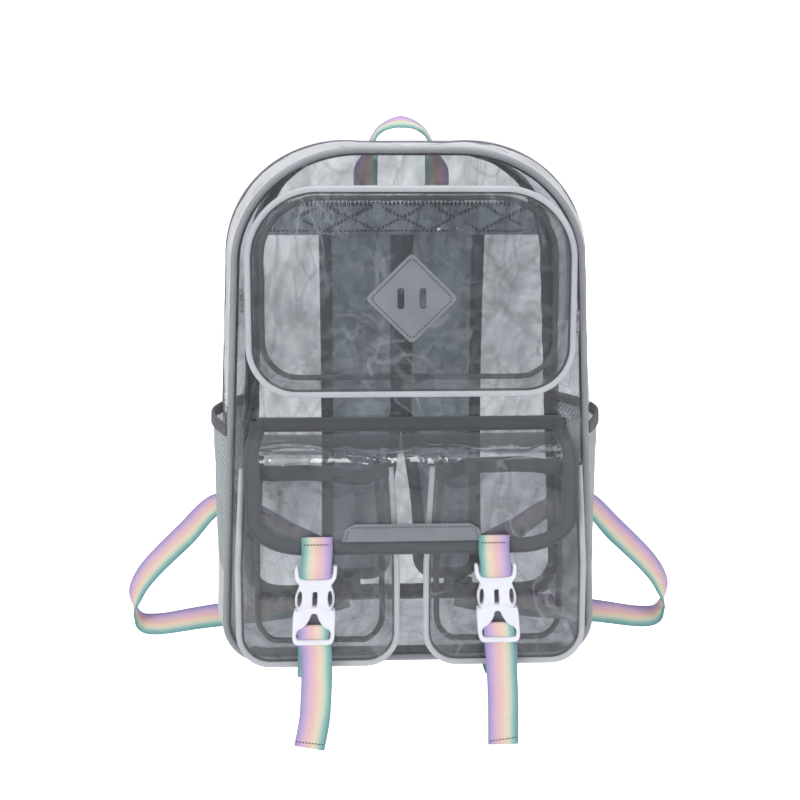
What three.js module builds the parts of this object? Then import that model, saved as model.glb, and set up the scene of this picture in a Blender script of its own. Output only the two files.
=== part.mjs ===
import * as THREE from 'three';

// Clear stadium backpack, hanging by its grab handle. Millimetres, +Z up, front towards -Y.
// Sizes are measured from the base (z = 0), the front rim (y = 0) and the middle (x = 0).
// The last lines move the origin to the underside of the handle, where the bag hangs.

// Main body
const bodyHeight = 439;
const topHalfWidth = 142;
const baseHalfWidth = 159;
const bodyDepth = 140;
const shoulderReach = 105;
const shoulderDrop = 96;
const baseCornerRadius = 34;
const sideBulge = 14;
const topBulge = 7;
const baseBulge = 2;
const frontDome = 3;
const sheetWall = 1.2;
const baseWall = 1.6;
const clearance = 0.4;
const pipingRadius = 2.7;
const bindingRadius = 3.2;
const zipWidth = 26;
const zipPlace = 52;
const zipEndHeight = 214;
const baseBandHeight = 80;

// Top pocket
const topPocketHalfWidth = 130;
const topPocketBottom = 243;
const topPocketTop = 407;
const topPocketDepth = 43;
const topPocketTopRadius = 56;
const topPocketBaseRadius = 38;
const topPocketTaper = 5;
const topPocketZipRise = 57;
const topPocketZipStart = topPocketBottom + topPocketZipRise;
const leftSliderRise = 27;
const rightSliderRise = 9;
const sliderWall = 4;
const topPocketZipWidth = 12;
const topPocketLip = 5;
const pocketPipingRadius = 2.4;
const patchHalfWidth = 37;
const patchHalfHeight = 36.5;
const patchDrop = 4.5;
const patchHeight = (topPocketTop + topPocketBottom) / 2 - patchDrop;
const patchWall = 1.5;
const patchCorner = 4;
const slotSpacing = 16.6;
const slotWidth = 4;
const slotHeight = 15;

// Lower pockets
const lowPocketInner = 12;
const lowPocketOuter = 142;
const lowPocketBottom = 17;
const lowPocketMouth = 184;
const lowPocketDepth = 45;
const lowPocketRadius = 26;
const lowPocketTaper = 9;
const mouthBandHeight = 12.5;
const bindingWall = 2.4;

// Flap
const flapHalfWidth = 134;
const flapBottom = 113;
const flapCornerWidth = 46;
const flapCornerHeight = 32;
const flapSeamHeight = 216;
const flapSeamWidth = 12;
const flapBindingWidth = 12.5;
const flapFront = 52;
const flapShoulder = 20;
const tabHalfWidth = 56;
const tabHeight = 11.5;
const tabWall = 1.4;

// Webbing and buckles
const webWidth = 25;
const webWall = 1.5;
const buckleOffset = 73.5;
const buckleShift = -4.5;
const buckleTop = 106;
const buckleJoin = 69;
const buckleBottom = 41;
const buckleHalfWidth = 17;
const buckleWall = 9;
const buckleBar = 4.5;
const strapTop = 129;
const tailEnd = -47;

// Side mesh pockets
const meshPocketMouth = 196;
const meshHemHeight = 12;
const meshPocketBulge = 7;
const meshWall = 1;

// Back
const yokeDrop = 44;
const yokeTop = bodyHeight - yokeDrop;
const yokeHeight = 31;
const yokeHalfWidth = 130;
const backWall = 2;
const padInner = 9;
const padOuter = 79;
const padBottom = 14;
const padWall = 6;
const padBow = 24;
const padEdge = 2.6;
const padCornerRadius = 20;
const anchorOffset = 57;
const loopReach = 277;
const loopDepth = 20;
const loopHeight = 90;
const loopSeatHeight = 29;
const loopSeatOffset = 62;
const loopSeatStep = 11;
const anchorTabHeight = 22;
const anchorTabMiddle = 4;
const anchorTabMargin = 4;
const anchorTabFlare = 6;

// Handle
const legOffset = 34.5;
const legReach = 27;
const legBottom = bodyHeight - legReach;
const handleFoot = 10;
const handleTuck = 8;
const handleWebWidth = 23;
const handleRise = 32;

const clearSheet = { color: 0xb4b8bd, roughness: 0.15, metalness: 0 };
const lightGrey = { color: 0xa9adb5, roughness: 0.5, metalness: 0 };
const darkWoven = { color: 0x66686e, roughness: 0.85, metalness: 0 };
const padCloth = { color: 0x79808a, roughness: 0.9, metalness: 0 };
const webbing = { color: 0xd8b8c4, roughness: 0.75, metalness: 0 };
const whitePlastic = { color: 0xe6e4ee, roughness: 0.35, metalness: 0 };
const zipMetal = { color: 0xb9bbc0, roughness: 0.3, metalness: 0.9 };

const bag = new THREE.Group();

function add(name, geometry, look) {
  const mesh = new THREE.Mesh(geometry, new THREE.MeshStandardMaterial(look));
  mesh.name = name;
  bag.add(mesh);
  return mesh;
}

// Moves every vertex of a three.js geometry and turns the faces outwards if the move mirrored them.
function warp(geometry, place) {
  const position = geometry.attributes.position;
  const point = new THREE.Vector3();
  for (let i = 0; i < position.count; i++) {
    point.fromBufferAttribute(position, i);
    const moved = place(point, i);
    position.setXYZ(i, moved.x, moved.y, moved.z);
  }
  const index = geometry.index;
  const a = new THREE.Vector3();
  const b = new THREE.Vector3();
  const c = new THREE.Vector3();
  let volume = 0;
  for (let i = 0; i < index.count; i += 3) {
    a.fromBufferAttribute(position, index.getX(i));
    b.fromBufferAttribute(position, index.getX(i + 1));
    c.fromBufferAttribute(position, index.getX(i + 2));
    volume += a.dot(b.cross(c));
  }
  if (volume < 0) {
    for (let i = 0; i < index.count; i += 3) {
      const swapped = index.getX(i);
      index.setX(i, index.getX(i + 1));
      index.setX(i + 1, swapped);
    }
  }
  geometry.computeVertexNormals();
  return geometry;
}

// Points along an outline in the XZ plane, each with the direction that points out of it.
function sample(path, straightStep, arcParts) {
  const samples = [];
  for (const curve of path.curves) {
    const straight = curve.isLineCurve === true;
    if (curve.getLength() < 0.01) {
      continue;
    }
    const parts = straight ? Math.max(1, Math.ceil(curve.getLength() / straightStep)) : arcParts;
    for (let i = 0; i < parts; i++) {
      const point = curve.getPoint(i / parts);
      const along = curve.getTangent(i / parts);
      samples.push({ x: point.x, z: point.y, outX: along.y, outZ: -along.x });
    }
  }
  return samples;
}

function endSample(path) {
  const curve = path.curves[path.curves.length - 1];
  const point = curve.getPoint(1);
  const along = curve.getTangent(1);
  return { x: point.x, z: point.y, outX: along.y, outZ: -along.x };
}

// A thin closed sheet inside an outline: rings shrink to its centre on both faces.
function sheet(samples, centre, inset, wall, depthAt) {
  const rings = 3;
  const rows = 2 * rings + 1;
  const around = samples.length;
  const geometry = new THREE.SphereGeometry(1, around, rows);
  return warp(geometry, (point, i) => {
    const row = Math.floor(i / (around + 1));
    const spot = samples[(i % (around + 1)) % around];
    const front = row <= rings;
    const share = (front ? row : rows - row) / rings;
    const edgeX = spot.x - spot.outX * inset;
    const edgeZ = spot.z - spot.outZ * inset;
    const x = centre.x + (edgeX - centre.x) * share;
    const z = centre.z + (edgeZ - centre.z) * share;
    return new THREE.Vector3(x, depthAt(x, z, share) + (front ? -wall / 2 : wall / 2), z);
  });
}

// A wall that follows outline samples and runs in depth between two planes.
function band(samples, near, far, parts, wall, offsetAt) {
  const last = samples.length - 1;
  const geometry = new THREE.BoxGeometry(1, 1, 1, last, parts, 1);
  return warp(geometry, (point) => {
    const spot = samples[Math.round((point.x + 0.5) * last)];
    const share = point.y + 0.5;
    const depth = near + (far - near) * share;
    const out = offsetAt(spot, depth, share) + point.z * wall;
    return new THREE.Vector3(spot.x + spot.outX * out, depth, spot.z + spot.outZ * out);
  });
}

// A round cord laid along outline samples, as a closed ring or with two ends.
function ring(samples, radius, depth) {
  const around = samples.length;
  const sides = 6;
  const geometry = new THREE.TorusGeometry(1, 0.2, sides, around);
  return warp(geometry, (point, i) => {
    const spot = samples[(i % (around + 1)) % around];
    const angle = (Math.floor(i / (around + 1)) / sides) * 2 * Math.PI;
    const out = radius * Math.cos(angle);
    const y = depth + radius * Math.sin(angle);
    return new THREE.Vector3(spot.x + spot.outX * out, y, spot.z + spot.outZ * out);
  });
}

function cord(samples, radius, depth) {
  const last = samples.length - 1;
  const geometry = new THREE.CylinderGeometry(1, 1, 1, 6, last);
  return warp(geometry, (point) => {
    const spot = samples[Math.round((point.y + 0.5) * last)];
    const out = radius * point.x;
    const y = depth + radius * point.z;
    return new THREE.Vector3(spot.x + spot.outX * out, y, spot.z + spot.outZ * out);
  });
}

// A flat strap along a smooth route. Each stop holds the centre and the direction of the width.
function strap(stops, steps, width, wall) {
  const route = new THREE.CatmullRomCurve3(stops.map((stop) => stop.at), false, 'centripetal');
  const spans = stops.length - 1;
  const geometry = new THREE.BoxGeometry(1, 1, 1, steps, 1, 1);
  return warp(geometry, (point) => {
    const share = point.x + 0.5;
    const centre = route.getPoint(share);
    const along = route.getTangent(share);
    const span = Math.min(spans - 1, Math.floor(share * spans));
    const blend = share * spans - span;
    const across = stops[span].across.clone().lerp(stops[span + 1].across, blend);
    across.addScaledVector(along, -across.dot(along)).normalize();
    const normal = along.clone().cross(across);
    return centre.addScaledVector(across, point.y * width).addScaledVector(normal, point.z * wall);
  });
}

function stop(x, y, z, acrossX, acrossY, acrossZ) {
  return { at: new THREE.Vector3(x, y, z), across: new THREE.Vector3(acrossX, acrossY, acrossZ) };
}

// Body outline from the middle of the base, up the right side and back down the left.
function bodyOutline() {
  const path = new THREE.Path();
  const lean = (baseHalfWidth - topHalfWidth) / bodyHeight;
  const shoulderHeight = bodyHeight - shoulderDrop;
  const shoulderHalf = baseHalfWidth - lean * shoulderHeight;
  path.moveTo(0, 0);
  path.lineTo(baseHalfWidth - baseCornerRadius, 0);
  path.absarc(baseHalfWidth - baseCornerRadius, baseCornerRadius, baseCornerRadius, -Math.PI / 2, 0);
  path.lineTo(shoulderHalf, shoulderHeight);
  path.absellipse(shoulderHalf - shoulderReach, shoulderHeight, shoulderReach, shoulderDrop, 0, Math.PI / 2);
  path.lineTo(-shoulderHalf + shoulderReach, bodyHeight);
  path.absellipse(-shoulderHalf + shoulderReach, shoulderHeight, shoulderReach, shoulderDrop,
    Math.PI / 2, Math.PI);
  path.lineTo(-baseHalfWidth, baseCornerRadius);
  path.absarc(-baseHalfWidth + baseCornerRadius, baseCornerRadius, baseCornerRadius,
    Math.PI, Math.PI * 1.5);
  path.lineTo(0, 0);
  return path;
}

function topPocketOutline() {
  const path = new THREE.Path();
  const half = topPocketHalfWidth;
  const low = topPocketBaseRadius;
  const high = topPocketTopRadius;
  path.moveTo(0, topPocketBottom);
  path.lineTo(half - low, topPocketBottom);
  path.absarc(half - low, topPocketBottom + low, low, -Math.PI / 2, 0);
  path.lineTo(half, topPocketZipStart);
  path.lineTo(half, topPocketTop - high);
  path.absarc(half - high, topPocketTop - high, high, 0, Math.PI / 2);
  path.lineTo(-half + high, topPocketTop);
  path.absarc(-half + high, topPocketTop - high, high, Math.PI / 2, Math.PI);
  path.lineTo(-half, topPocketZipStart);
  path.lineTo(-half, topPocketBottom + low);
  path.absarc(-half + low, topPocketBottom + low, low, Math.PI, Math.PI * 1.5);
  path.lineTo(0, topPocketBottom);
  return path;
}

// U-shaped edge of a lower pocket, from its inner mouth down and round to its outer mouth.
function lowPocketOutline(side) {
  const path = new THREE.Path();
  const inner = lowPocketInner;
  const outer = lowPocketOuter;
  const radius = lowPocketRadius;
  const middle = (lowPocketMouth + lowPocketBottom) / 2;
  path.moveTo(-outer + topPocketTaper, lowPocketMouth);
  path.lineTo(-outer, middle);
  path.lineTo(-outer, lowPocketBottom + radius);
  path.absarc(-outer + radius, lowPocketBottom + radius, radius, Math.PI, Math.PI * 1.5);
  path.lineTo(-inner - radius, lowPocketBottom);
  path.absarc(-inner - radius, lowPocketBottom + radius, radius, Math.PI * 1.5, Math.PI * 2);
  path.lineTo(-inner, middle);
  path.lineTo(-inner - topPocketTaper, lowPocketMouth);
  const samples = sample(path, 40, 4);
  samples.push(endSample(path));
  if (side > 0) {
    return samples.map((spot) => ({ x: -spot.x, z: spot.z, outX: -spot.outX, outZ: spot.outZ })).reverse();
  }
  return samples;
}

const body = sample(bodyOutline(), 45, 6);
const bodyEdge = pipingRadius + clearance;

function bodyOffset(spot, depth) {
  const side = Math.abs(spot.outX) * sideBulge;
  const end = spot.outZ > 0 ? spot.outZ * topBulge : -spot.outZ * baseBulge;
  return (side + end) * Math.sin((Math.PI * depth) / bodyDepth);
}

// The part of a closed run of samples whose height passes a test, in order along the outline.
function run(samples, keep) {
  const kept = samples.map(keep);
  const count = samples.length;
  const start = samples.findIndex((spot, i) => kept[i] && !kept[(i + count - 1) % count]);
  const part = [];
  for (let i = 0; i < count && kept[(start + i) % count]; i++) {
    part.push(samples[(start + i) % count]);
  }
  return part;
}

// Adds samples where the outline crosses a height, so that neighbours can be cut there.
function cutAt(samples, height, gap) {
  const cut = [];
  samples.forEach((spot, i) => {
    const next = samples[(i + 1) % samples.length];
    cut.push(spot);
    const levels = [height - gap / 2, height + gap / 2];
    if (next.z < spot.z) {
      levels.reverse();
    }
    for (const level of levels) {
      if ((spot.z - level) * (next.z - level) < 0) {
        const share = (level - spot.z) / (next.z - spot.z);
        cut.push({
          x: spot.x + (next.x - spot.x) * share,
          z: level,
          outX: spot.outX + (next.outX - spot.outX) * share,
          outZ: spot.outZ + (next.outZ - spot.outZ) * share,
        });
      }
    }
  });
  return cut;
}

function buildBody() {
  const centre = { x: 0, z: bodyHeight / 2 };
  const dome = (x, z, share) => -frontDome * (1 - share * share);
  add('front_panel', sheet(body, centre, bodyEdge, sheetWall, dome), clearSheet);
  add('back_panel', sheet(body, centre, bindingRadius + clearance, sheetWall, () => bodyDepth), clearSheet);
  add('front_piping', ring(body, pipingRadius, 0), lightGrey);
  add('back_binding', ring(body, bindingRadius, bodyDepth), darkWoven);
  const near = pipingRadius + clearance;
  const far = bodyDepth - bindingRadius - clearance;
  const cut = cutAt(cutAt(body, zipEndHeight, clearance), baseBandHeight, clearance);
  const arch = run(cut, (spot) => spot.z > zipEndHeight);
  const zipFar = zipPlace + zipWidth;
  add('gusset_front', band(arch, near, zipPlace - clearance, 2, sheetWall, bodyOffset), clearSheet);
  add('main_zip', band(arch, zipPlace, zipFar, 1, sheetWall, bodyOffset), darkWoven);
  add('gusset_rear', band(arch, zipFar + clearance, far, 2, sheetWall, bodyOffset), clearSheet);
  const base = run(cut, (spot) => spot.z < baseBandHeight);
  add('base_band', band(base, near, far, 4, baseWall, bodyOffset), lightGrey);
  for (const [name, side] of [['left', -1], ['right', 1]]) {
    const wall = run(cut, (spot) => spot.x * side > 0 && spot.z > baseBandHeight && spot.z < zipEndHeight);
    add(`side_panel_${name}`, band(wall, near, far, 4, sheetWall, bodyOffset), clearSheet);
  }
}

function buildMeshPocket(name, side) {
  const top = meshPocketMouth;
  const cut = cutAt(cutAt(body, top, clearance), baseBandHeight, clearance);
  const wall = run(cut, (spot) => spot.x * side > 0 && spot.z > baseBandHeight && spot.z < top);
  const seat = sheetWall / 2 + clearance + meshWall / 2;
  const near = 2 * bodyEdge;
  const far = bodyDepth - near;
  const bulge = (spot, depth, share) => {
    const rise = (spot.z - baseBandHeight) / (top - baseBandHeight);
    return bodyOffset(spot, depth) + seat + meshPocketBulge * rise * Math.sin(Math.PI * share);
  };
  add(`mesh_pocket_${name}`, band(wall, near, far, 6, meshWall, bulge), lightGrey);
  const hemTop = top + meshHemHeight;
  const hemCut = cutAt(cutAt(body, top, clearance), hemTop, clearance);
  const hem = run(hemCut, (spot) => spot.x * side > 0 && spot.z > top && spot.z < hemTop);
  const thicker = (bindingWall - meshWall) / 2;
  const hemBulge = (spot, depth, share) => (
    bodyOffset(spot, depth) + seat + thicker + meshPocketBulge * Math.sin(Math.PI * share)
  );
  add(`mesh_hem_${name}`, band(hem, near, far, 6, bindingWall, hemBulge), darkWoven);
}

function slider(name, x, y, z) {
  const length = 11;
  const width = 7;
  const geometry = new THREE.CylinderGeometry(0.5, 0.35, length, 8);
  geometry.scale(sliderWall, 1, width);
  geometry.rotateX(Math.PI / 2);
  geometry.rotateX(Math.PI / 2);
  add(name, geometry, zipMetal).position.set(x, y, z);
}

function buildTopPocket() {
  const outline = sample(topPocketOutline(), 60, 5);
  const front = -topPocketDepth;
  const centre = { x: 0, z: (topPocketTop + topPocketBottom) / 2 };
  const inset = pocketPipingRadius + clearance;
  add('top_pocket_front', sheet(outline, centre, inset, sheetWall, () => front), clearSheet);
  add('top_pocket_piping', ring(outline, pocketPipingRadius, front), lightGrey);
  const near = front + inset;
  const far = -frontDome - sheetWall / 2 - clearance;
  const taper = (spot, depth) => (topPocketTaper * (front - depth)) / topPocketDepth;
  const cut = cutAt(outline, topPocketZipStart, clearance);
  const arch = run(cut, (spot) => spot.z > topPocketZipStart);
  const base = run(cut, (spot) => spot.z < topPocketZipStart);
  const zipNear = near + topPocketLip;
  const zipFar = zipNear + topPocketZipWidth;
  add('top_pocket_lip', band(arch, near, zipNear - clearance, 1, sheetWall, taper), clearSheet);
  add('top_pocket_zip', band(arch, zipNear, zipFar, 1, sheetWall, taper), darkWoven);
  add('top_pocket_rear_band', band(arch, zipFar + clearance, far, 1, sheetWall, taper), clearSheet);
  add('top_pocket_base_band', band(base, near, far, 2, sheetWall, taper), clearSheet);
  const sliderY = (zipNear + zipFar) / 2;
  const sliderX = topPocketHalfWidth + taper(null, sliderY) + sheetWall / 2 + 2 * clearance + sliderWall / 2;
  slider('top_pocket_slider_left', -sliderX, sliderY, topPocketZipStart + leftSliderRise);
  slider('top_pocket_slider_right', sliderX, sliderY, topPocketZipStart + rightSliderRise);
}

// A closed outline with its corners rounded.
function outlineShape(corners, radius) {
  const shape = new THREE.Shape();
  const count = corners.length;
  corners.forEach(([x, z], i) => {
    const before = corners[(i + count - 1) % count];
    const after = corners[(i + 1) % count];
    const toBefore = Math.min(0.5, radius / Math.hypot(before[0] - x, before[1] - z));
    const toAfter = Math.min(0.5, radius / Math.hypot(after[0] - x, after[1] - z));
    const startX = x + (before[0] - x) * toBefore;
    const startZ = z + (before[1] - z) * toBefore;
    if (i === 0) {
      shape.moveTo(startX, startZ);
    } else {
      shape.lineTo(startX, startZ);
    }
    shape.quadraticCurveTo(x, z, x + (after[0] - x) * toAfter, z + (after[1] - z) * toAfter);
  });
  shape.closePath();
  return shape;
}

function box(low, high, bottom, top) {
  return [[low, bottom], [high, bottom], [high, top], [low, top]];
}

// Diamond lash tab with two upright slots, lying on the top pocket's front sheet.
function buildPatch() {
  const shape = outlineShape([
    [0, patchHalfHeight], [-patchHalfWidth, 0], [0, -patchHalfHeight], [patchHalfWidth, 0],
  ], patchCorner);
  for (const side of [-1, 1]) {
    const x = (side * slotSpacing) / 2;
    const corners = box(x - slotWidth / 2, x + slotWidth / 2, -slotHeight / 2, slotHeight / 2);
    shape.holes.push(outlineShape(corners, slotWidth / 2));
  }
  const geometry = new THREE.ExtrudeGeometry(shape, { depth: patchWall, bevelEnabled: false, curveSegments: 3 });
  geometry.rotateX(Math.PI / 2);
  const y = -topPocketDepth - sheetWall / 2 - clearance;
  add('diamond_patch', geometry, lightGrey).position.set(0, y, patchHeight);
}

function buildLowPocket(name, side) {
  const outline = lowPocketOutline(side);
  const front = -lowPocketDepth;
  const inset = pocketPipingRadius + clearance;
  const middle = (side * (lowPocketInner + lowPocketOuter)) / 2;
  const inner = outline.map((spot) => (
    { x: spot.x - spot.outX * (inset + clearance), z: spot.z - spot.outZ * (inset + clearance) }
  ));
  const rows = 9;
  const height = lowPocketMouth - lowPocketBottom;
  // The front sheet is laid out in rows between the two sides of the U.
  const edgeAt = (z, outside) => {
    for (let i = 0; i < inner.length - 1; i++) {
      const a = inner[i];
      const b = inner[i + 1];
      const wanted = (a.x + b.x) / 2 > middle === outside > 0;
      if (wanted && (a.z - z) * (b.z - z) <= 0 && a.z !== b.z) {
        return a.x + ((b.x - a.x) * (z - a.z)) / (b.z - a.z);
      }
    }
    return middle;
  };
  const lowest = lowPocketBottom + inset + clearance;
  const sheetTop = lowPocketMouth - mouthBandHeight - clearance;
  const sheetGeometry = new THREE.BoxGeometry(1, 1, 1, 4, 1, rows);
  const pocketFront = warp(sheetGeometry, (point) => {
    const share = (point.z + 0.5) ** 1.4;
    const z = lowest + (sheetTop - lowest) * share;
    const low = edgeAt(Math.max(z, lowest + 0.1), -1);
    const high = edgeAt(Math.max(z, lowest + 0.1), 1);
    const x = low + (high - low) * (point.x + 0.5);
    return new THREE.Vector3(x, front + point.y * sheetWall, z);
  });
  add(`low_pocket_front_${name}`, pocketFront, clearSheet);
  add(`low_pocket_piping_${name}`, cord(outline, pocketPipingRadius, front), lightGrey);
  const taper = (spot, depth) => (
    (lowPocketTaper * (front - depth)) / lowPocketDepth * Math.abs(spot.outX)
  );
  const far = -frontDome - sheetWall / 2 - clearance;
  const gusset = band(outline, front + inset, far, 2, sheetWall, taper);
  add(`low_pocket_gusset_${name}`, gusset, clearSheet);
  const bandInner = lowPocketInner + topPocketTaper + inset;
  const bandOuter = lowPocketOuter - topPocketTaper - inset;
  const bandCentre = lowPocketMouth - mouthBandHeight / 2;
  const mouth = warp(new THREE.BoxGeometry(1, 1, 1, 8, 1, 1), (point) => {
    const x = side * (bandInner + (bandOuter - bandInner) * (point.x + 0.5));
    const wave = 1.5 * Math.sin(4 * Math.PI * (point.x + 0.5));
    return new THREE.Vector3(x, front + point.y * bindingWall, bandCentre + wave / height
      + point.z * mouthBandHeight);
  });
  add(`low_pocket_mouth_${name}`, mouth, darkWoven);
}

const flapSeat = -frontDome - sheetWall / 2 - clearance - bindingWall / 2;

// Section of the flap from its seam on the front panel, over the pockets and down.
const flapProfile = new THREE.CatmullRomCurve3([
  new THREE.Vector3(0, flapSeat, flapSeamHeight),
  new THREE.Vector3(0, flapSeat, flapSeamHeight - flapSeamWidth * 0.5),
  new THREE.Vector3(0, flapSeat - 0.5, flapSeamHeight - flapSeamWidth),
  new THREE.Vector3(0, flapSeat - 12, flapSeamHeight - flapShoulder * 0.85),
  new THREE.Vector3(0, -flapFront + 10, flapSeamHeight - flapShoulder * 1.15),
  new THREE.Vector3(0, -flapFront, flapSeamHeight - flapShoulder * 1.8),
  new THREE.Vector3(0, -flapFront - 2, (flapSeamHeight + flapBottom) / 2 - 8),
  new THREE.Vector3(0, -flapFront, flapBottom),
], false, 'centripetal');
const flapLength = flapProfile.getLength();

function onFlap(x, down, out) {
  const share = Math.min(1, Math.max(0, down / flapLength));
  const point = flapProfile.getPointAt(share);
  const along = flapProfile.getTangentAt(share);
  const fade = Math.max(0, 1 - down / (3 * flapSeamWidth));
  const bow = frontDome * (x / baseHalfWidth) ** 2 * fade;
  return new THREE.Vector3(x, point.y + along.z * out + bow, point.z - along.y * out);
}

function flapHalfAt(down) {
  const left = flapLength - down;
  if (left >= flapCornerHeight) {
    return flapHalfWidth;
  }
  const rise = (flapCornerHeight - left) / flapCornerHeight;
  return flapHalfWidth - flapCornerWidth * (1 - Math.sqrt(Math.max(0, 1 - rise * rise)));
}

function buildFlap() {
  const wall = sheetWall;
  const seamHalf = flapHalfWidth - 4;
  const seam = warp(new THREE.BoxGeometry(1, 1, 1, 4, 2, 1), (point) => (
    onFlap(point.x * 2 * seamHalf, (point.y + 0.5) * flapSeamWidth, point.z * bindingWall)
  ));
  add('flap_seam', seam, darkWoven);
  const start = flapSeamWidth + clearance;
  const inside = flapBindingWidth + clearance;
  const end = flapLength - inside;
  const rows = 12;
  const flap = warp(new THREE.BoxGeometry(1, 1, 1, 6, rows, 1), (point) => {
    const down = start + (end - start) * (point.y + 0.5);
    const share = down / end;
    const corner = Math.min(1, (end - down) / (flapCornerHeight - 2));
    const shrink = (flapCornerWidth - 8) * (1 - Math.sqrt(1 - (1 - corner) ** 2));
    const half = flapHalfAt(0) - inside - shrink - (1 - share) ** 4 * 4;
    return onFlap(point.x * 2 * half, down, point.z * wall);
  });
  add('flap_sheet', flap, clearSheet);
  // Binding: a U down one side, along the bottom and up the other side.
  const path = new THREE.Path();
  const middle = flapBindingWidth / 2;
  const half = flapHalfWidth - middle;
  const bottom = flapLength - middle;
  const turn = flapLength - flapCornerHeight;
  path.moveTo(-half, start);
  path.lineTo(-half, turn);
  path.absellipse(-half + flapCornerWidth - middle, turn, flapCornerWidth - middle,
    flapCornerHeight - middle, Math.PI, Math.PI / 2, true);
  path.lineTo(half - flapCornerWidth + middle, bottom);
  path.absellipse(half - flapCornerWidth + middle, turn, flapCornerWidth - middle,
    flapCornerHeight - middle, Math.PI / 2, 0, true);
  path.lineTo(half, start);
  const samples = sample(path, 22, 6);
  samples.push(endSample(path));
  const last = samples.length - 1;
  const binding = warp(new THREE.BoxGeometry(1, 1, 1, last, 1, 1), (point) => {
    const spot = samples[Math.round((point.x + 0.5) * last)];
    const across = point.y * flapBindingWidth;
    return onFlap(spot.x + spot.outX * across, spot.z + spot.outZ * across, point.z * bindingWall);
  });
  add('flap_binding', binding, darkWoven);
  const lift = bindingWall / 2 + clearance + tabWall / 2;
  const tab = warp(new THREE.BoxGeometry(1, 1, 1, 6, 1, 1), (point) => {
    const down = end - tabHeight * (0.5 - point.y);
    const tabHalf = tabHalfWidth - (0.5 - point.y) * 4;
    return onFlap(point.x * 2 * tabHalf, down, lift + point.z * tabWall);
  });
  add('flap_tab', tab, lightGrey);
}

const buckleMiddle = -flapFront - 2 - buckleWall / 2;

function plate(corners, windows, wall) {
  const shape = outlineShape(corners, 3);
  for (const opening of windows) {
    shape.holes.push(outlineShape(opening, 1.2));
  }
  const geometry = new THREE.ExtrudeGeometry(shape, { depth: wall, bevelEnabled: false, curveSegments: 2 });
  geometry.rotateX(Math.PI / 2);
  geometry.translate(0, wall / 2, 0);
  return geometry;
}

function buildBuckle(name, side) {
  const half = buckleHalfWidth;
  const slotHalf = webWidth / 2 + 1;
  const waist = half - 2.5;
  const span = buckleTop - buckleJoin;
  const maleBase = buckleJoin + clearance;
  const waistHeight = buckleJoin + span * 0.5;
  const slotBottom = buckleTop - buckleBar - 5.5;
  const male = plate([
    [-half, maleBase], [half, maleBase], [half, maleBase + 4], [waist, waistHeight],
    [half, buckleTop], [-half, buckleTop], [-waist, waistHeight], [-half, maleBase + 4],
  ], [
    box(-slotHalf, slotHalf, slotBottom, buckleTop - buckleBar),
    box(-half + 3.5, -half + 7.5, maleBase + 3, waistHeight),
    box(half - 7.5, half - 3.5, maleBase + 3, waistHeight),
    box(-3, 3, maleBase + 3, waistHeight),
  ], buckleWall * 0.7);
  const x = side * buckleOffset + buckleShift;
  add(`buckle_male_${name}`, male, whitePlastic).position.set(x, buckleMiddle, 0);
  const barTop = buckleBottom + buckleBar;
  const female = plate([
    [-half, buckleBottom], [half, buckleBottom], [half, buckleJoin], [-half, buckleJoin],
  ], [
    box(-slotHalf, slotHalf, barTop, barTop + 8.5),
    [[-8, barTop + 11], [8, barTop + 11], [0, buckleJoin - 3]],
  ], buckleWall);
  add(`buckle_female_${name}`, female, whitePlastic).position.set(x, buckleMiddle, 0);
}

// Upper strap: sewn on the flap's bottom binding, through the male half's slot and back up.
function buildFlapStrap(name, side) {
  const x = side * buckleOffset + buckleShift;
  const lift = bindingWall / 2 + clearance + webWall / 2;
  const sewnTop = onFlap(x, flapLength - (strapTop - flapBottom), lift);
  const sewnEdge = onFlap(x, flapLength - 2, lift + 1);
  const turn = buckleWall * 0.35 + clearance + webWall / 2;
  const face = buckleMiddle - turn;
  const back = buckleMiddle + turn;
  const under = buckleTop - buckleBar - 2.9;
  const route = [
    stop(x, sewnTop.y, sewnTop.z, 1, 0, 0),
    stop(x, sewnEdge.y, sewnEdge.z, 1, 0, 0),
    stop(x, face - 0.4, buckleTop + 0.6, 1, 0, 0),
    stop(x, face, buckleTop - buckleBar - 0.4, 1, 0, 0),
    stop(x, buckleMiddle, under, 1, 0, 0),
    stop(x, back, buckleTop - buckleBar - 0.4, 1, 0, 0),
    stop(x, back, buckleTop, 1, 0, 0),
  ];
  add(`flap_strap_${name}`, strap(route, 26, webWidth, webWall), webbing);
}

// Lower strap: its tail hangs in front, it turns round the female half's bar and is sewn under the base.
function buildLowerStrap(name, side) {
  const x = side * buckleOffset + buckleShift;
  const turn = buckleWall / 2 + clearance + webWall / 2;
  const face = buckleMiddle - turn;
  const back = buckleMiddle + turn;
  const barTop = buckleBottom + buckleBar;
  const underBase = -baseBulge - baseWall / 2 - clearance - webWall - 2;
  const route = [
    stop(x + side * 1, face + 3, tailEnd, 1, 0, -0.12 * side),
    stop(x, face + 2, (tailEnd + buckleBottom) / 2, 1, 0, 0),
    stop(x, face, buckleBottom - 4, 1, 0, 0),
    stop(x, face, barTop + 1, 1, 0, 0),
    stop(x, buckleMiddle, barTop + 4, 1, 0, 0),
    stop(x, back, barTop + 1, 1, 0, 0),
    stop(x, back, buckleBottom - 10, 1, 0, 0),
    stop(x, -lowPocketDepth + 2, lowPocketBottom - 10, 1, 0, 0),
    stop(x, -14, underBase, 1, 0, 0),
    stop(x, 14, underBase, 1, 0, 0),
    stop(x, 34, underBase, 1, 0, 0),
  ];
  add(`lower_strap_${name}`, strap(route, 40, webWidth, webWall), webbing);
}

const backFace = bodyDepth + bindingRadius + clearance;

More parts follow.
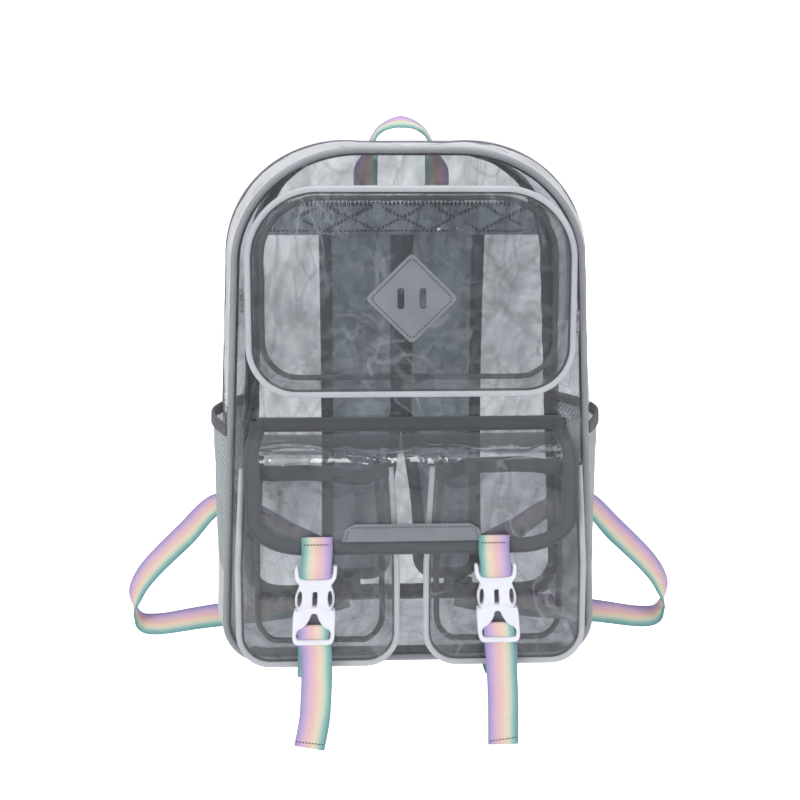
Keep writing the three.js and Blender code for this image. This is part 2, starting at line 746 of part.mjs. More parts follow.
function buildYoke() {
  const y = backFace + backWall / 2;
  const lean = (baseHalfWidth - topHalfWidth) / bodyHeight;
  const yoke = warp(new THREE.BoxGeometry(1, 1, 1, 6, 1, 1), (point) => {
    const z = yokeTop + (point.z - 0.5) * yokeHeight;
    const half = yokeHalfWidth + (yokeTop - z) * lean * 4;
    return new THREE.Vector3(point.x * 2 * half, y + point.y * backWall, z);
  });
  add('yoke_band', yoke, padCloth);
}

const padTop = yokeTop - 5;

function padCentre(z) {
  const share = (padTop - z) / (padTop - padBottom);
  const start = backFace + backWall + clearance + (padWall + 1) / 2;
  return start + 4 * share + padBow * Math.max(0, Math.sin(Math.PI * share)) ** 1.2;
}

function padOutline(side) {
  const path = new THREE.Path();
  const radius = padCornerRadius;
  path.moveTo(padInner, padTop);
  path.lineTo(padInner, padBottom + radius);
  path.absarc(padInner + radius, padBottom + radius, radius, Math.PI, Math.PI * 1.5);
  path.lineTo(padOuter - radius, padBottom);
  path.absarc(padOuter - radius, padBottom + radius, radius, Math.PI * 1.5, Math.PI * 2);
  path.lineTo(padOuter, padTop);
  const samples = sample(path, 42, 5);
  samples.push(endSample(path));
  if (side < 0) {
    return samples.map((spot) => ({ x: -spot.x, z: spot.z, outX: -spot.outX, outZ: spot.outZ })).reverse();
  }
  return samples;
}

function buildPad(name, side) {
  const rows = 12;
  const radius = padCornerRadius;
  const inset = clearance;
  const pad = warp(new THREE.BoxGeometry(1, 1, 1, 2, 1, rows), (point) => {
    const share = (point.z + 0.5) ** 1.5;
    const z = padBottom + inset + (padTop - padBottom - inset) * share;
    const low = Math.max(0, (padBottom + radius - z) / radius);
    const tuck = radius * (1 - Math.sqrt(Math.max(0, 1 - low * low)));
    const half = (padOuter - padInner) / 2 - inset - tuck;
    const x = side * (padInner + padOuter) / 2 + point.x * 2 * half;
    return new THREE.Vector3(x, padCentre(z) + point.y * padWall, z);
  });
  add(`shoulder_pad_${name}`, pad, padCloth);
  const outline = padOutline(side);
  const last = outline.length - 1;
  const edge = warp(new THREE.BoxGeometry(1, 1, 1, last, 1, 1), (point) => {
    const spot = outline[Math.round((point.x + 0.5) * last)];
    const out = padEdge * (point.z + 0.5) + inset;
    const z = spot.z + spot.outZ * out;
    return new THREE.Vector3(spot.x + spot.outX * out, padCentre(z) + point.y * (padWall + 1), z);
  });
  add(`pad_binding_${name}`, edge, darkWoven);
}

// Side loop: from the anchor tab in the back seam out to the side and back in to the pad's lower end.
// reach, depth and height are shares of loopReach, loopDepth and loopHeight; width is the webbing's direction.
const loopStops = [
  { reach: 0.2, depth: 0.33, height: -0.033, width: [0, 0, 1] },
  { reach: 0.28, depth: 0.35, height: -0.089, width: [0, 0.3, 1] },
  { reach: 0.46, depth: 0.6, height: -0.189, width: [0, 0.6, 1] },
  { reach: 0.72, depth: 0.9, height: -0.311, width: [0, 0.9, 0.8] },
  { reach: 0.93, depth: 1, height: -0.4, width: [0.1, 1, 0.6] },
  { reach: 0.99, depth: 1.05, height: -0.244, width: [0.2, 1, 0.2] },
  { reach: 0.985, depth: 1.05, height: -0.022, width: [0.9, 1, 0.4] },
  { reach: 0.93, depth: 1.05, height: 0.244, width: [0.9, 0.7, 0.6] },
  { reach: 0.8, depth: 1.05, height: 0.644, width: [0.8, 0.5, 0.8] },
  { reach: 0.68, depth: 1.05, height: 1, width: [0.5, 0.8, 0.6] },
  { reach: 0.56, depth: 1.1, height: 0.93, width: [0, 1, 0.5] },
  { reach: 0.42, depth: 1.1, height: 0.66, width: [-0.3, 0.9, 0.6] },
];

function buildLoop(name, side) {
  const stops = loopStops.map((spot) => stop(
    side * spot.reach * loopReach,
    bodyDepth + spot.depth * loopDepth,
    spot.height * loopHeight,
    side * spot.width[0], spot.width[1], spot.width[2],
  ));
  for (const height of [loopSeatHeight + loopSeatStep, loopSeatHeight]) {
    const seat = padCentre(height) + (padWall + 1) / 2 + 2 * clearance + webWall / 2;
    const x = loopSeatOffset + (height - loopSeatHeight) * 2;
    stops.push(stop(side * x, seat, height, side * -0.5, 0.19, 0.87));
  }
  add(`side_loop_${name}`, strap(stops, 40, webWidth, webWall), webbing);
  const tab = warp(new THREE.BoxGeometry(1, 1, 1, 1, 1, 1), (point) => (
    new THREE.Vector3(
      side * anchorOffset + point.x * (webWidth + anchorTabMargin + anchorTabFlare * point.z),
      bodyDepth + bindingRadius + clearance + webWall / 2 + point.y * webWall,
      anchorTabMiddle + point.z * anchorTabHeight,
    )
  ));
  add(`anchor_tab_${name}`, tab, darkWoven);
}

function buildHandle() {
  const y = backFace + webWall / 2 + 0.2;
  const foot = bodyHeight + handleFoot;
  const apex = bodyHeight + handleRise;
  const route = [
    stop(-legOffset, y, legBottom, 1, 0, 0),
    stop(-legOffset, y, bodyHeight - handleTuck, 1, 0, 0),
    stop(-legOffset + 1, y, foot, 1, 0.15, 0),
    stop(-legOffset * 0.66, y, foot + handleRise * 0.52, 0.25, 1, 0.15),
    stop(0, y, apex, 0, 1, 0.35),
    stop(legOffset * 0.66, y, foot + handleRise * 0.52, -0.25, 1, 0.15),
    stop(legOffset - 1, y, foot, -1, 0.15, 0),
    stop(legOffset, y, bodyHeight - handleTuck, -1, 0, 0),
    stop(legOffset, y, legBottom, -1, 0, 0),
  ];
  add('grab_handle', strap(route, 36, handleWebWidth, webWall), webbing);
}

buildBody();
buildTopPocket();
buildPatch();
buildFlap();
buildYoke();
buildHandle();
for (const [name, side] of [['left', -1], ['right', 1]]) {
  buildMeshPocket(name, side);
  buildLowPocket(name, side);
  buildBuckle(name, side);
  buildFlapStrap(name, side);
  buildLowerStrap(name, side);
  buildPad(name, side);
  buildLoop(name, side);
}

const hangY = backFace + webWall / 2 + 0.2;
const hangZ = bodyHeight + handleRise - webWall / 2;
bag.position.set(0, -hangY, -hangZ);

export default bag;
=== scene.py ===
import math

import bmesh
import bpy
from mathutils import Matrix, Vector, noise


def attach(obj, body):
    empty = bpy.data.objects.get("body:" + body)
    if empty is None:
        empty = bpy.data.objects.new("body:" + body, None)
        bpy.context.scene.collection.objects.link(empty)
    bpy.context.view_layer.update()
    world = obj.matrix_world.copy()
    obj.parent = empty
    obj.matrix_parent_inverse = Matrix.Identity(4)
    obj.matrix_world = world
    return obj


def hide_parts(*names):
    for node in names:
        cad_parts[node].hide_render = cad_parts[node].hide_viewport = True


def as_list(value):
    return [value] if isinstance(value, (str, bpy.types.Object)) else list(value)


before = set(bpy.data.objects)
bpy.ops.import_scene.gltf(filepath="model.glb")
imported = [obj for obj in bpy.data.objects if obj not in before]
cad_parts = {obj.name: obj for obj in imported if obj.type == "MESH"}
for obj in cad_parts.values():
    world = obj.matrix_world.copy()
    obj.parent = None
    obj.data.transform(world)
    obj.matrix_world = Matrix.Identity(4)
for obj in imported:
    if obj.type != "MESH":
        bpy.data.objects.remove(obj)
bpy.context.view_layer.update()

# Sizes are in millimetres from the base (z = 0), the front rim (y = 0) and the middle (x = 0).
HANG_Y = 144.55
HANG_Z = 470.25
BODY_HEIGHT = 439.0
TOP_HALF = 142.0
BASE_HALF = 159.0
DEPTH = 140.0
SHOULDER_REACH = 105.0
SHOULDER_DROP = 96.0
BASE_RADIUS = 34.0
SIDE_BULGE = 14.0
TOP_BULGE = 7.0
BASE_BULGE = 2.0
DOME = 3.0
ZIP_NEAR = 52.0
ZIP_FAR = 78.0
ZIP_END = 214.0
COIL_PITCH = 1.5
BASE_BAND = 80.0
TOP_POCKET_DEPTH = 43.0
TOP_POCKET_HALF = 130.0
TOP_POCKET_LOW = 243.0
TOP_POCKET_HIGH = 407.0
TOP_POCKET_TAPER = 5.0
TOP_POCKET_ZIP_END = 300.0
PATCH_Z = 320.5
LOW_POCKET_DEPTH = 45.0
LOW_POCKET_INNER = 12.0
LOW_POCKET_OUTER = 142.0
LOW_POCKET_LOW = 17.0
LOW_POCKET_MOUTH = 184.0
LOW_POCKET_EDGE = 180.0
LOW_POCKET_TAPER = 9.0
FLAP_HALF = 134.0
FLAP_LOW = 113.0
FLAP_FRONT = 52.0
FLAP_CORNER_REACH = 46.0
FLAP_CORNER_DROP = 32.0
FLAP_SEWN = 11.0
FLAP_INSET = 6.0
YOKE_TOP = 395.0
YOKE_HEIGHT = 31.0
PAD_X = 44.0
PAD_HALF = 33.5
PAD_LOW = 16.5
PAD_HIGH = 388.0
WEB_WIDTH = 25.0
HANDLE_WIDTH = 23.0
WEB_WALL = 1.5
WEB_COLUMNS = 9
PIPING_SIDES = 10
CORNER_PARTS = 5
BUCKLE_Y = -58.5
BACK_FACE = 143.6
MESH_PITCH = 0.0052
BACK_RISE = 7.0
RISE_START = 330.0
RISE_HEIGHT = 105.0
BINDING_REACH = 3.5
HALF_PI = math.pi / 2
SIDES = (("left", -1), ("right", 1))


def clamp(value):
    return min(1, max(0, value))


def smooth(share):
    """A share from 0 to 1 with a soft start and end."""
    return share * share * (3 - 2 * share)


def at(x, y, z):
    """A point in metres in the shared frame. The bag's back stands a little taller than its front."""
    if 0 < y < DEPTH + BINDING_REACH and z > RISE_START:
        z += BACK_RISE * smooth(min(1, (z - RISE_START) / RISE_HEIGHT)) * y / DEPTH
    return Vector((x / 1000, (y - HANG_Y) / 1000, (z - HANG_Z) / 1000))


# Materials

class Nodes:
    """A small helper that adds nodes to a material and links them."""

    def __init__(self, name):
        self.material = bpy.data.materials.new(name)
        self.material.use_nodes = True
        self.tree = self.material.node_tree
        self.tree.nodes.clear()
        self.out = self.add("ShaderNodeOutputMaterial")

    def add(self, kind, **values):
        node = self.tree.nodes.new(kind)
        for key, value in values.items():
            if hasattr(node, key):
                setattr(node, key, value)
        return node

    def link(self, source, target):
        self.tree.links.new(source, target)

    def put(self, node, socket, value):
        if hasattr(value, "is_output"):
            self.link(value, node.inputs[socket])
        else:
            node.inputs[socket].default_value = value

    def coords(self, kind="Object", scale=(1, 1, 1)):
        source = self.add("ShaderNodeTexCoord").outputs[kind]
        mapping = self.add("ShaderNodeMapping")
        mapping.inputs["Scale"].default_value = scale
        self.link(source, mapping.inputs["Vector"])
        return mapping.outputs["Vector"]

    def noise(self, vector, scale, detail=3.0, rough=0.5, distortion=0.0):
        node = self.add("ShaderNodeTexNoise")
        self.link(vector, node.inputs["Vector"])
        self.put(node, "Scale", scale)
        self.put(node, "Detail", detail)
        self.put(node, "Roughness", rough)
        self.put(node, "Distortion", distortion)
        return node.outputs["Fac"]

    def voronoi(self, vector, scale, feature):
        node = self.add("ShaderNodeTexVoronoi", feature=feature)
        self.link(vector, node.inputs["Vector"])
        self.put(node, "Scale", scale)
        return node.outputs["Distance"]

    def math(self, operation, a, b=0.0, clamp=False):
        node = self.add("ShaderNodeMath", operation=operation, use_clamp=clamp)
        self.put(node, 0, a)
        self.put(node, 1, b)
        return node.outputs[0]

    def plus(self, a, b, clamp=False):
        return self.math("ADD", a, b, clamp)

    def times(self, a, b):
        return self.math("MULTIPLY", a, b)

    def ridge(self, value, level):
        """How far a value is from a level, whichever side it is on."""
        return self.math("ABSOLUTE", self.math("SUBTRACT", value, level))

    def ramp(self, fac, stops):
        node = self.add("ShaderNodeValToRGB")
        elements = node.color_ramp.elements
        while len(elements) < len(stops):
            elements.new(0.5)
        for element, (place, colour) in zip(elements, stops):
            element.position = place
            element.color = (*colour, 1)
        self.link(fac, node.inputs["Fac"])
        return node.outputs["Color"]

    def span(self, value, low, high, to_low, to_high):
        node = self.add("ShaderNodeMapRange")
        self.put(node, "Value", value)
        for socket, number in zip(("From Min", "From Max", "To Min", "To Max"), (low, high, to_low, to_high)):
            node.inputs[socket].default_value = number
        return node.outputs["Result"]

    def scaled(self, colour, factor):
        """The colour times a value."""
        node = self.add("ShaderNodeVectorMath", operation="SCALE")
        self.link(colour, node.inputs[0])
        self.link(factor, node.inputs["Scale"])
        return node.outputs[0]

    def shader(self, kind, **values):
        """A shader node with its sockets set."""
        node = self.add(f"ShaderNode{kind}")
        for socket, value in values.items():
            self.put(node, socket.replace("_", " "), value)
        return node.outputs[0]

    def mixed(self, fac, first, second):
        node = self.add("ShaderNodeMixShader")
        self.put(node, 0, fac)
        self.link(first, node.inputs[1])
        self.link(second, node.inputs[2])
        return node.outputs[0]

    def finish(self, shader):
        self.link(shader, self.out.inputs["Surface"])
        return self.material

    def bump(self, height, strength, distance, normal=None):
        node = self.add("ShaderNodeBump")
        self.put(node, "Strength", strength)
        self.put(node, "Distance", distance)
        self.link(height, node.inputs["Height"])
        if normal is not None:
            self.link(normal, node.inputs["Normal"])
        return node.outputs["Normal"]

    def surface(self, colour, roughness, normal, **extra):
        return self.shader("BsdfPrincipled", Base_Color=colour, Roughness=roughness, Normal=normal, **extra)


def darker_by(colour, factor):
    return tuple(c * factor for c in colour)


def weave(nodes, warp_pitch, weft_pitch):
    """Height of a plain weave over the UV map, which is in metres."""
    uv = nodes.coords("UV")
    split = nodes.add("ShaderNodeSeparateXYZ")
    nodes.link(uv, split.inputs[0])
    across = nodes.times(split.outputs[0], 2 * math.pi / warp_pitch)
    along = nodes.times(split.outputs[1], 2 * math.pi / weft_pitch)
    product = nodes.times(nodes.math("SINE", across), nodes.math("SINE", along))
    return nodes.span(product, -1, 1, 0, 1), split


def pvc_material(name, low, high, haze, edge_haze, shine=0.8):
    """Clear soft PVC: a tinted see-through sheet with painted dark shade lines, a milky haze with painted
    highlight streaks, and a gloss.
    """
    nodes = Nodes(name)
    place = nodes.coords("Object", (1, 1, 0.6))
    path = nodes.add("ShaderNodeLightPath")
    lighting = nodes.math("MAXIMUM", path.outputs["Is Shadow Ray"], path.outputs["Is Diffuse Ray"])
    broad = nodes.noise(place, 9, 2, 0.5, 0.8)
    patches = nodes.noise(place, 26, 4, 0.6, 1.6)
    both = nodes.plus(nodes.times(patches, 0.5), nodes.times(broad, 0.5))
    clear = pvc_tint(nodes, place, both, low, high, lighting)
    mist = pvc_mist(nodes, place, both, haze, edge_haze, lighting)
    front = nodes.shader("BsdfDiffuse", Color=(0.56, 0.58, 0.62, 1))
    through = nodes.shader("BsdfTranslucent", Color=(0.62, 0.64, 0.68, 1))
    body = nodes.mixed(mist, clear, nodes.mixed(0.4, front, through))
    normal = nodes.bump(nodes.noise(place, 11, 2, 0.45, 1.6), 0.28, 0.012)
    normal = nodes.bump(nodes.noise(place, 60, 2, 0.5, 1.0), 0.03, 0.001, normal)
    gloss = nodes.shader("BsdfGlossy", Color=(1, 1, 1, 1), Roughness=0.06, Normal=normal)
    edge = nodes.add("ShaderNodeLayerWeight")
    nodes.put(edge, "Blend", 0.22)
    fac = nodes.plus(nodes.times(edge.outputs["Fresnel"], shine), 0.02, clamp=True)
    fac = nodes.times(fac, nodes.span(lighting, 0, 1, 1, 0.25))
    return nodes.finish(nodes.mixed(fac, body, gloss))


def pvc_tint(nodes, place, both, low, high, lighting):
    """The see-through part: tinted for the eye, nearly clear for the light that falls inside."""
    middle = tuple((a + b) / 2 for a, b in zip(low, high))
    tint = nodes.ramp(both, [(0.38, low), (0.5, middle), (0.62, high)])
    shadow = nodes.ridge(nodes.noise(place, 14, 1.5, 0.5, 2.0), 0.52)
    passing = nodes.add("ShaderNodeMix", data_type="RGBA")
    nodes.link(lighting, passing.inputs["Factor"])
    nodes.link(nodes.scaled(tint, nodes.span(shadow, 0.0, 0.05, 0.8, 1.0)), passing.inputs[6])
    passing.inputs[7].default_value = (0.97, 0.973, 0.978, 1)
    return nodes.shader("BsdfTransparent", Color=passing.outputs[2])


def pvc_mist(nodes, place, both, haze, edge_haze, lighting):
    """The milky share: an even haze, more of it at a graze, and painted highlight streaks at the crests of a
    twisted noise.
    """
    crest = nodes.ridge(nodes.noise(place, 17, 1.5, 0.45, 2.2), 0.5)
    where = nodes.span(nodes.noise(place, 13, 2, 0.5, 0.5), 0.44, 0.62, 0, 1)
    # painted highlight: whiter milky streaks along the crests stand in for glints on the film's wrinkles
    painted_highlight_streak = nodes.times(nodes.span(crest, 0.0, 0.03, 1, 0), where)
    facing = nodes.add("ShaderNodeLayerWeight")
    nodes.put(facing, "Blend", 0.5)
    graze = nodes.math("POWER", facing.outputs["Facing"], 3.0)
    mist = nodes.plus(nodes.times(painted_highlight_streak, 0.26), nodes.times(graze, edge_haze))
    mist = nodes.plus(mist, nodes.span(both, 0.35, 0.65, haze * 0.7, haze * 1.3), clamp=True)
    return nodes.times(mist, nodes.span(lighting, 0, 1, 1, 0.12))


def leatherette_material(name, colour):
    nodes = Nodes(name)
    place = nodes.coords("Object")
    grain = nodes.voronoi(place, 1400, "SMOOTH_F1")
    creases = nodes.voronoi(place, 520, "DISTANCE_TO_EDGE")
    patches = nodes.noise(place, 35, 4)
    darker = darker_by(colour, 0.86)
    tone = nodes.ramp(patches, [(0.3, darker), (0.7, colour)])
    normal = nodes.bump(grain, 0.2, 0.0002)
    normal = nodes.bump(nodes.span(creases, 0, 0.12, 0, 1), 0.15, 0.0001, normal)
    return nodes.finish(nodes.surface(tone, nodes.span(patches, 0.3, 0.7, 0.42, 0.56), normal))


def woven_material(name, colour, warp, weft, roughness=0.85, strength=0.5):
    """Woven tape or cloth, its colour darker in the weave's hollows and lighter on its crests as painted
    shade and light. The weave follows the UV map, in metres.
    """
    nodes = Nodes(name)
    height, _ = weave(nodes, warp, weft)
    place = nodes.coords("Object")
    patches = nodes.noise(place, 60, 4)
    fuzz = nodes.noise(place, 1500, 2)
    darker = darker_by(colour, 0.62)
    lighter = tuple(min(1, c * 1.25) for c in colour)
    spots = nodes.plus(nodes.times(patches, 0.35), nodes.times(fuzz, 0.3))
    # painted shade and light: the weave height darkens the hollows and lightens the crests, on top of the
    # random spots
    mixed = nodes.plus(nodes.times(height, 0.45), spots)
    tone = nodes.ramp(mixed, [(0.25, darker), (0.55, colour), (0.85, lighter)])
    normal = nodes.bump(height, strength, 0.0004)
    normal = nodes.bump(fuzz, 0.15, 0.0002, normal)
    rough = nodes.span(patches, 0.3, 0.7, roughness - 0.08, roughness + 0.05)
    return nodes.finish(nodes.surface(tone, rough, normal, Sheen_Weight=0.2))


RAINBOW = [
    (0.02, (0.13, 0.33, 0.33)),
    (0.14, (0.24, 0.46, 0.43)),
    (0.27, (0.61, 0.65, 0.51)),
    (0.40, (0.80, 0.63, 0.48)),
    (0.55, (0.78, 0.51, 0.48)),
    (0.70, (0.69, 0.46, 0.58)),
    (0.85, (0.48, 0.36, 0.61)),
    (0.98, (0.33, 0.28, 0.54)),
]


def webbing_material(name):
    """Ribbed webbing whose colour runs across its width, from teal to lilac."""
    nodes = Nodes(name)
    height, split = weave(nodes, 0.0021, 0.0016)
    share = nodes.span(split.outputs[0], -0.0125, 0.0125, 0, 1)
    wobble = nodes.noise(nodes.coords("Object"), 25, 2)
    share = nodes.plus(share, nodes.span(wobble, 0.3, 0.7, -0.03, 0.03))
    colour = nodes.ramp(share, RAINBOW)
    fuzz = nodes.noise(nodes.coords("Object"), 1700, 2)
    shade = nodes.span(nodes.plus(height, nodes.times(fuzz, 0.5)), 0.1, 1.3, 0.8, 1.08)
    rough = nodes.span(fuzz, 0.3, 0.7, 0.6, 0.74)
    normal = nodes.bump(height, 0.5, 0.0005)
    return nodes.finish(nodes.surface(nodes.scaled(colour, shade), rough, normal, Sheen_Weight=0.15))


def plastic_material(name, colour, roughness):
    nodes = Nodes(name)
    place = nodes.coords("Object")
    fine = nodes.noise(place, 900, 3)
    wide = nodes.noise(place, 60, 2)
    darker = darker_by(colour, 0.95)
    tone = nodes.ramp(wide, [(0.3, darker), (0.7, colour)])
    normal = nodes.bump(fine, 0.08, 0.0002)
    rough = nodes.span(wide, 0.3, 0.7, roughness - 0.04, roughness + 0.06)
    return nodes.finish(nodes.surface(tone, rough, normal, Subsurface_Weight=0.08))


def metal_material(name):
    nodes = Nodes(name)
    place = nodes.coords("Object", (1, 1, 6))
    scratches = nodes.noise(place, 700, 3)
    tone = nodes.ramp(scratches, [(0.3, (0.22, 0.22, 0.24)), (0.7, (0.36, 0.36, 0.39))])
    rough = nodes.span(scratches, 0.3, 0.7, 0.22, 0.38)
    return nodes.finish(nodes.surface(tone, rough, nodes.bump(scratches, 0.1, 0.0001), Metallic=1.0))


def mesh_material(name):
    """Knitted mesh: staggered oval holes in a matt cloth, each hole half see-through and half painted dark as
    shade. The UV map is in metres.
    """
    nodes = Nodes(name)
    split = nodes.add("ShaderNodeSeparateXYZ")
    nodes.link(nodes.coords("UV"), split.inputs[0])
    waves = []
    for operation in ("ADD", "SUBTRACT"):
        slant = nodes.math(operation, split.outputs[0], split.outputs[1])
        wave = nodes.math("SINE", nodes.times(slant, math.pi / MESH_PITCH))
        waves.append(nodes.math("ABSOLUTE", wave))
    threads = nodes.times(*waves)
    hole_with_painted_shade = nodes.span(threads, 0.52, 0.6, 0, 1)
    fuzz = nodes.noise(nodes.coords("Object"), 1300, 2)
    thread = nodes.ramp(fuzz, [(0.3, (0.36, 0.40, 0.41)), (0.7, (0.48, 0.52, 0.535))])
    # painted shade: inside each hole the cloth colour falls to about a fifth, and half of the hole stays
    # see-through
    tone = nodes.scaled(thread, nodes.span(hole_with_painted_shade, 0, 1, 1, 0.22))
    cloth = nodes.surface(tone, nodes.span(fuzz, 0.3, 0.7, 0.75, 0.9), nodes.bump(threads, -0.6, 0.0006))
    clear = nodes.shader("BsdfTransparent")
    return nodes.finish(nodes.mixed(nodes.times(hole_with_painted_shade, 0.5), cloth, clear))


PVC = pvc_material("clear_pvc", (0.50, 0.515, 0.53), (0.73, 0.74, 0.75), 0.05, 0.2)
PVC_THIN = pvc_material("clear_pvc_thin", (0.68, 0.69, 0.705), (0.86, 0.87, 0.88), 0.05, 0.2)
PVC_BAND = pvc_material("clear_pvc_band", (0.78, 0.79, 0.805), (0.93, 0.935, 0.94), 0.04, 0.1)
PVC_SIDE = pvc_material("clear_pvc_gusset", (0.38, 0.39, 0.425), (0.72, 0.73, 0.76), 0.10, 0.45, 0.5)
PVC_FLOOR = pvc_material("clear_pvc_floor", (0.34, 0.355, 0.38), (0.52, 0.53, 0.55), 0.10, 0.2, 0.4)
PIPING = leatherette_material("piping_leatherette", (0.47, 0.485, 0.515))
EDGE_PIPING = leatherette_material("edge_piping_leatherette", (0.29, 0.305, 0.33))
GREY = leatherette_material("grey_leatherette", (0.205, 0.22, 0.242))
PALE = leatherette_material("pale_leatherette", (0.52, 0.54, 0.56))
DARK = woven_material("dark_binding", (0.085, 0.09, 0.1), 0.0014, 0.0011)
PAD = woven_material("pad_cloth", (0.49, 0.545, 0.62), 0.0012, 0.0012, 0.9, 0.35)
WEB = webbing_material("rainbow_webbing")
WHITE = plastic_material("white_plastic", (0.78, 0.77, 0.84), 0.34)
METAL = metal_material("zip_metal")
TAPE = woven_material("zip_tape", (0.17, 0.165, 0.2), 0.001, 0.0016, 0.8, 0.4)
MESH = mesh_material("side_mesh")
THREAD = woven_material("dark_thread", (0.06, 0.06, 0.07), 0.0004, 0.0004, 0.7, 0.3)
SLOTS = {
    "clear_sheet": (PVC, PVC_THIN, PVC_BAND, PVC_SIDE, PVC_FLOOR),
    "grey_leatherette": (PIPING, EDGE_PIPING, GREY, PALE),
    "dark_binding": (DARK, THREAD),
    "pad_cloth": (PAD,),
    "rainbow_webbing": (WEB,),
    "white_plastic": (WHITE,),
    "zip_metal": (METAL,),
    "zip_tape": (TAPE,),
    "side_mesh": (MESH,),
}
SLOT_OF = {material.name: slot for slot, materials in SLOTS.items() for material in materials}


# Outlines in the XZ plane: lists of (x, z, out_x, out_z), in order.

def trace(parts, step):
    """Spots along lines and arcs, each with its outward direction, and the last spot by itself."""
    spots = []
    for part in parts:
        if part[0] == "line":
            _, x0, z0, x1, z1 = part
            length = math.hypot(x1 - x0, z1 - z0)
            if length < 0.01:
                continue
            out = ((z1 - z0) / length, -(x1 - x0) / length)
            count = max(1, round(length / step))
            for i in range(count):
                t = i / count
                spots.append((x0 + (x1 - x0) * t, z0 + (z1 - z0) * t, *out))
            last = (x1, z1, *out)
        else:
            _, cx, cz, rx, rz, start, end = part
            turn = 1 if end > start else -1
            count = max(4, round(abs(end - start) * (rx + rz) / 2 / step))
            for i in range(count + 1):
                angle = start + (end - start) * i / count
                x, z = cx + rx * math.cos(angle), cz + rz * math.sin(angle)
                nx, nz = math.cos(angle) / rx, math.sin(angle) / rz
                size = math.hypot(nx, nz) * turn
                if i < count:
                    spots.append((x, z, nx / size, nz / size))
            last = (x, z, nx / size, nz / size)
    return spots, last


def arch_outline(base_half, radius, half, reach, drop, low, high, step):
    """A flat-topped arch: round lower corners of one radius, shoulders of a reach and a drop."""
    level = high - drop
    spots, _ = trace([
        ("line", 0, low, base_half - radius, low),
        ("arc", base_half - radius, low + radius, radius, radius, -HALF_PI, 0),
        ("line", base_half, low + radius, half, level),
        ("arc", half - reach, level, reach, drop, 0, HALF_PI),
        ("line", half - reach, high, -half + reach, high),
        ("arc", -half + reach, level, reach, drop, HALF_PI, math.pi),
        ("line", -half, level, -base_half, low + radius),
        ("arc", -base_half + radius, low + radius, radius, radius, math.pi, 3 * HALF_PI),
        ("line", -base_half + radius, low, 0, low),
    ], step)
    return spots


def body_outline(step=5.0):
    taper = (BASE_HALF - TOP_HALF) / BODY_HEIGHT
    half = BASE_HALF - taper * (BODY_HEIGHT - SHOULDER_DROP)
    return arch_outline(BASE_HALF, BASE_RADIUS, half, SHOULDER_REACH, SHOULDER_DROP, 0, BODY_HEIGHT, step)


def top_pocket_outline(step=4.0):
    low_radius, high_radius = 38.0, 56.0
    return arch_outline(TOP_POCKET_HALF, low_radius, TOP_POCKET_HALF, high_radius, high_radius,
                        TOP_POCKET_LOW, TOP_POCKET_HIGH, step)


def low_pocket_outline(side):
    inner, outer, r, taper = LOW_POCKET_INNER, LOW_POCKET_OUTER, 26.0, 5.0
    low, mouth = LOW_POCKET_LOW, LOW_POCKET_MOUTH
    middle = (mouth + low) / 2
    spots, last = trace([
        ("line", -outer + taper, mouth, -outer, middle),
        ("line", -outer, middle, -outer, low + r),
        ("arc", -outer + r, low + r, r, r, math.pi, 3 * HALF_PI),
        ("line", -outer + r, low, -inner - r, low),
        ("arc", -inner - r, low + r, r, r, 3 * HALF_PI, 2 * math.pi),
        ("line", -inner, low + r, -inner, middle),
        ("line", -inner, middle, -inner - taper, mouth),
    ], 4.0)
    spots.append(last)
    if side > 0:
        spots = [(-x, z, -nx, nz) for x, z, nx, nz in reversed(spots)]
    return spots


def body_offset(spot, depth):
    """How far the gusset bulges out from the body's outline at a depth."""
    nx, nz = spot[2], spot[3]
    end = nz * TOP_BULGE if nz > 0 else -nz * BASE_BULGE
    return (abs(nx) * SIDE_BULGE + end) * math.sin(math.pi * min(max(depth / DEPTH, 0), 1))


def wrinkle(x, y, z, size, amount, seed=0.0):
    """A smooth random height, in millimetres, that repeats at no visible step."""
    return amount * noise.fractal(Vector((x / size + seed, y / size, z / size - seed)), 0.8, 2.1, 3)


def dent(spot, depth, size, amount, seed):
    """A wrinkle at a spot of an outline."""
    return wrinkle(spot[0], depth, spot[1], size, amount, seed)


def crease(x, z, size, amount, seed):
    """A thin raised fold here and there, as in soft film that was packed flat."""
    spot = Vector((x / size + seed, z / size * 0.7, seed))
    bend = noise.noise(spot * 1.7 + Vector((9.2, 3.1, 0))) * 1.2
    value = abs(noise.noise(spot + Vector((bend, bend * 0.6, 0))))
    where = max(0.0, noise.noise(spot * 0.6 + Vector((4.4, 7.7, 1.3))) + 0.1)
    return amount * math.exp(-(value / 0.035) ** 2) * min(1.0, where * 3)


# Mesh building

def dress(obj, material, *replaced):
    """Gives a piece its material, shades it smooth and hides the source nodes it stands for."""
    obj.data.materials.clear()
    obj.data.materials.append(material)
    for polygon in obj.data.polygons:
        polygon.use_smooth = True
    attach(obj, "root")
    if replaced:
        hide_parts(*replaced)
    return obj


def new_object(name, data):
    obj = bpy.data.objects.new(name, data)
    bpy.context.scene.collection.objects.link(obj)
    return obj


def mesh_object(name, verts, faces, uvs=None):
    mesh = bpy.data.meshes.new(name)
    mesh.from_pydata(verts, [], faces)
    if uvs is not None:
        layer = mesh.uv_layers.new(name="UVMap")
        for loop in mesh.loops:
            layer.data[loop.index].uv = uvs[loop.vertex_index]
    mesh.update()
    return new_object(name, mesh)


def loft_faces(rings, size, closed=False, capped=True):
    """Faces between rings of points. Open ends get a cap unless capped is off."""
    faces = []
    for k in range(rings if closed else rings - 1):
        here, there = k * size, (k + 1) % rings * size
        for j in range(size):
            m = (j + 1) % size
            faces.append((here + j, here + m, there + m, there + j))
    if capped and not closed:
        faces.append(tuple(range(size)))
        faces.append(tuple(reversed(range((rings - 1) * size, rings * size))))
    return faces


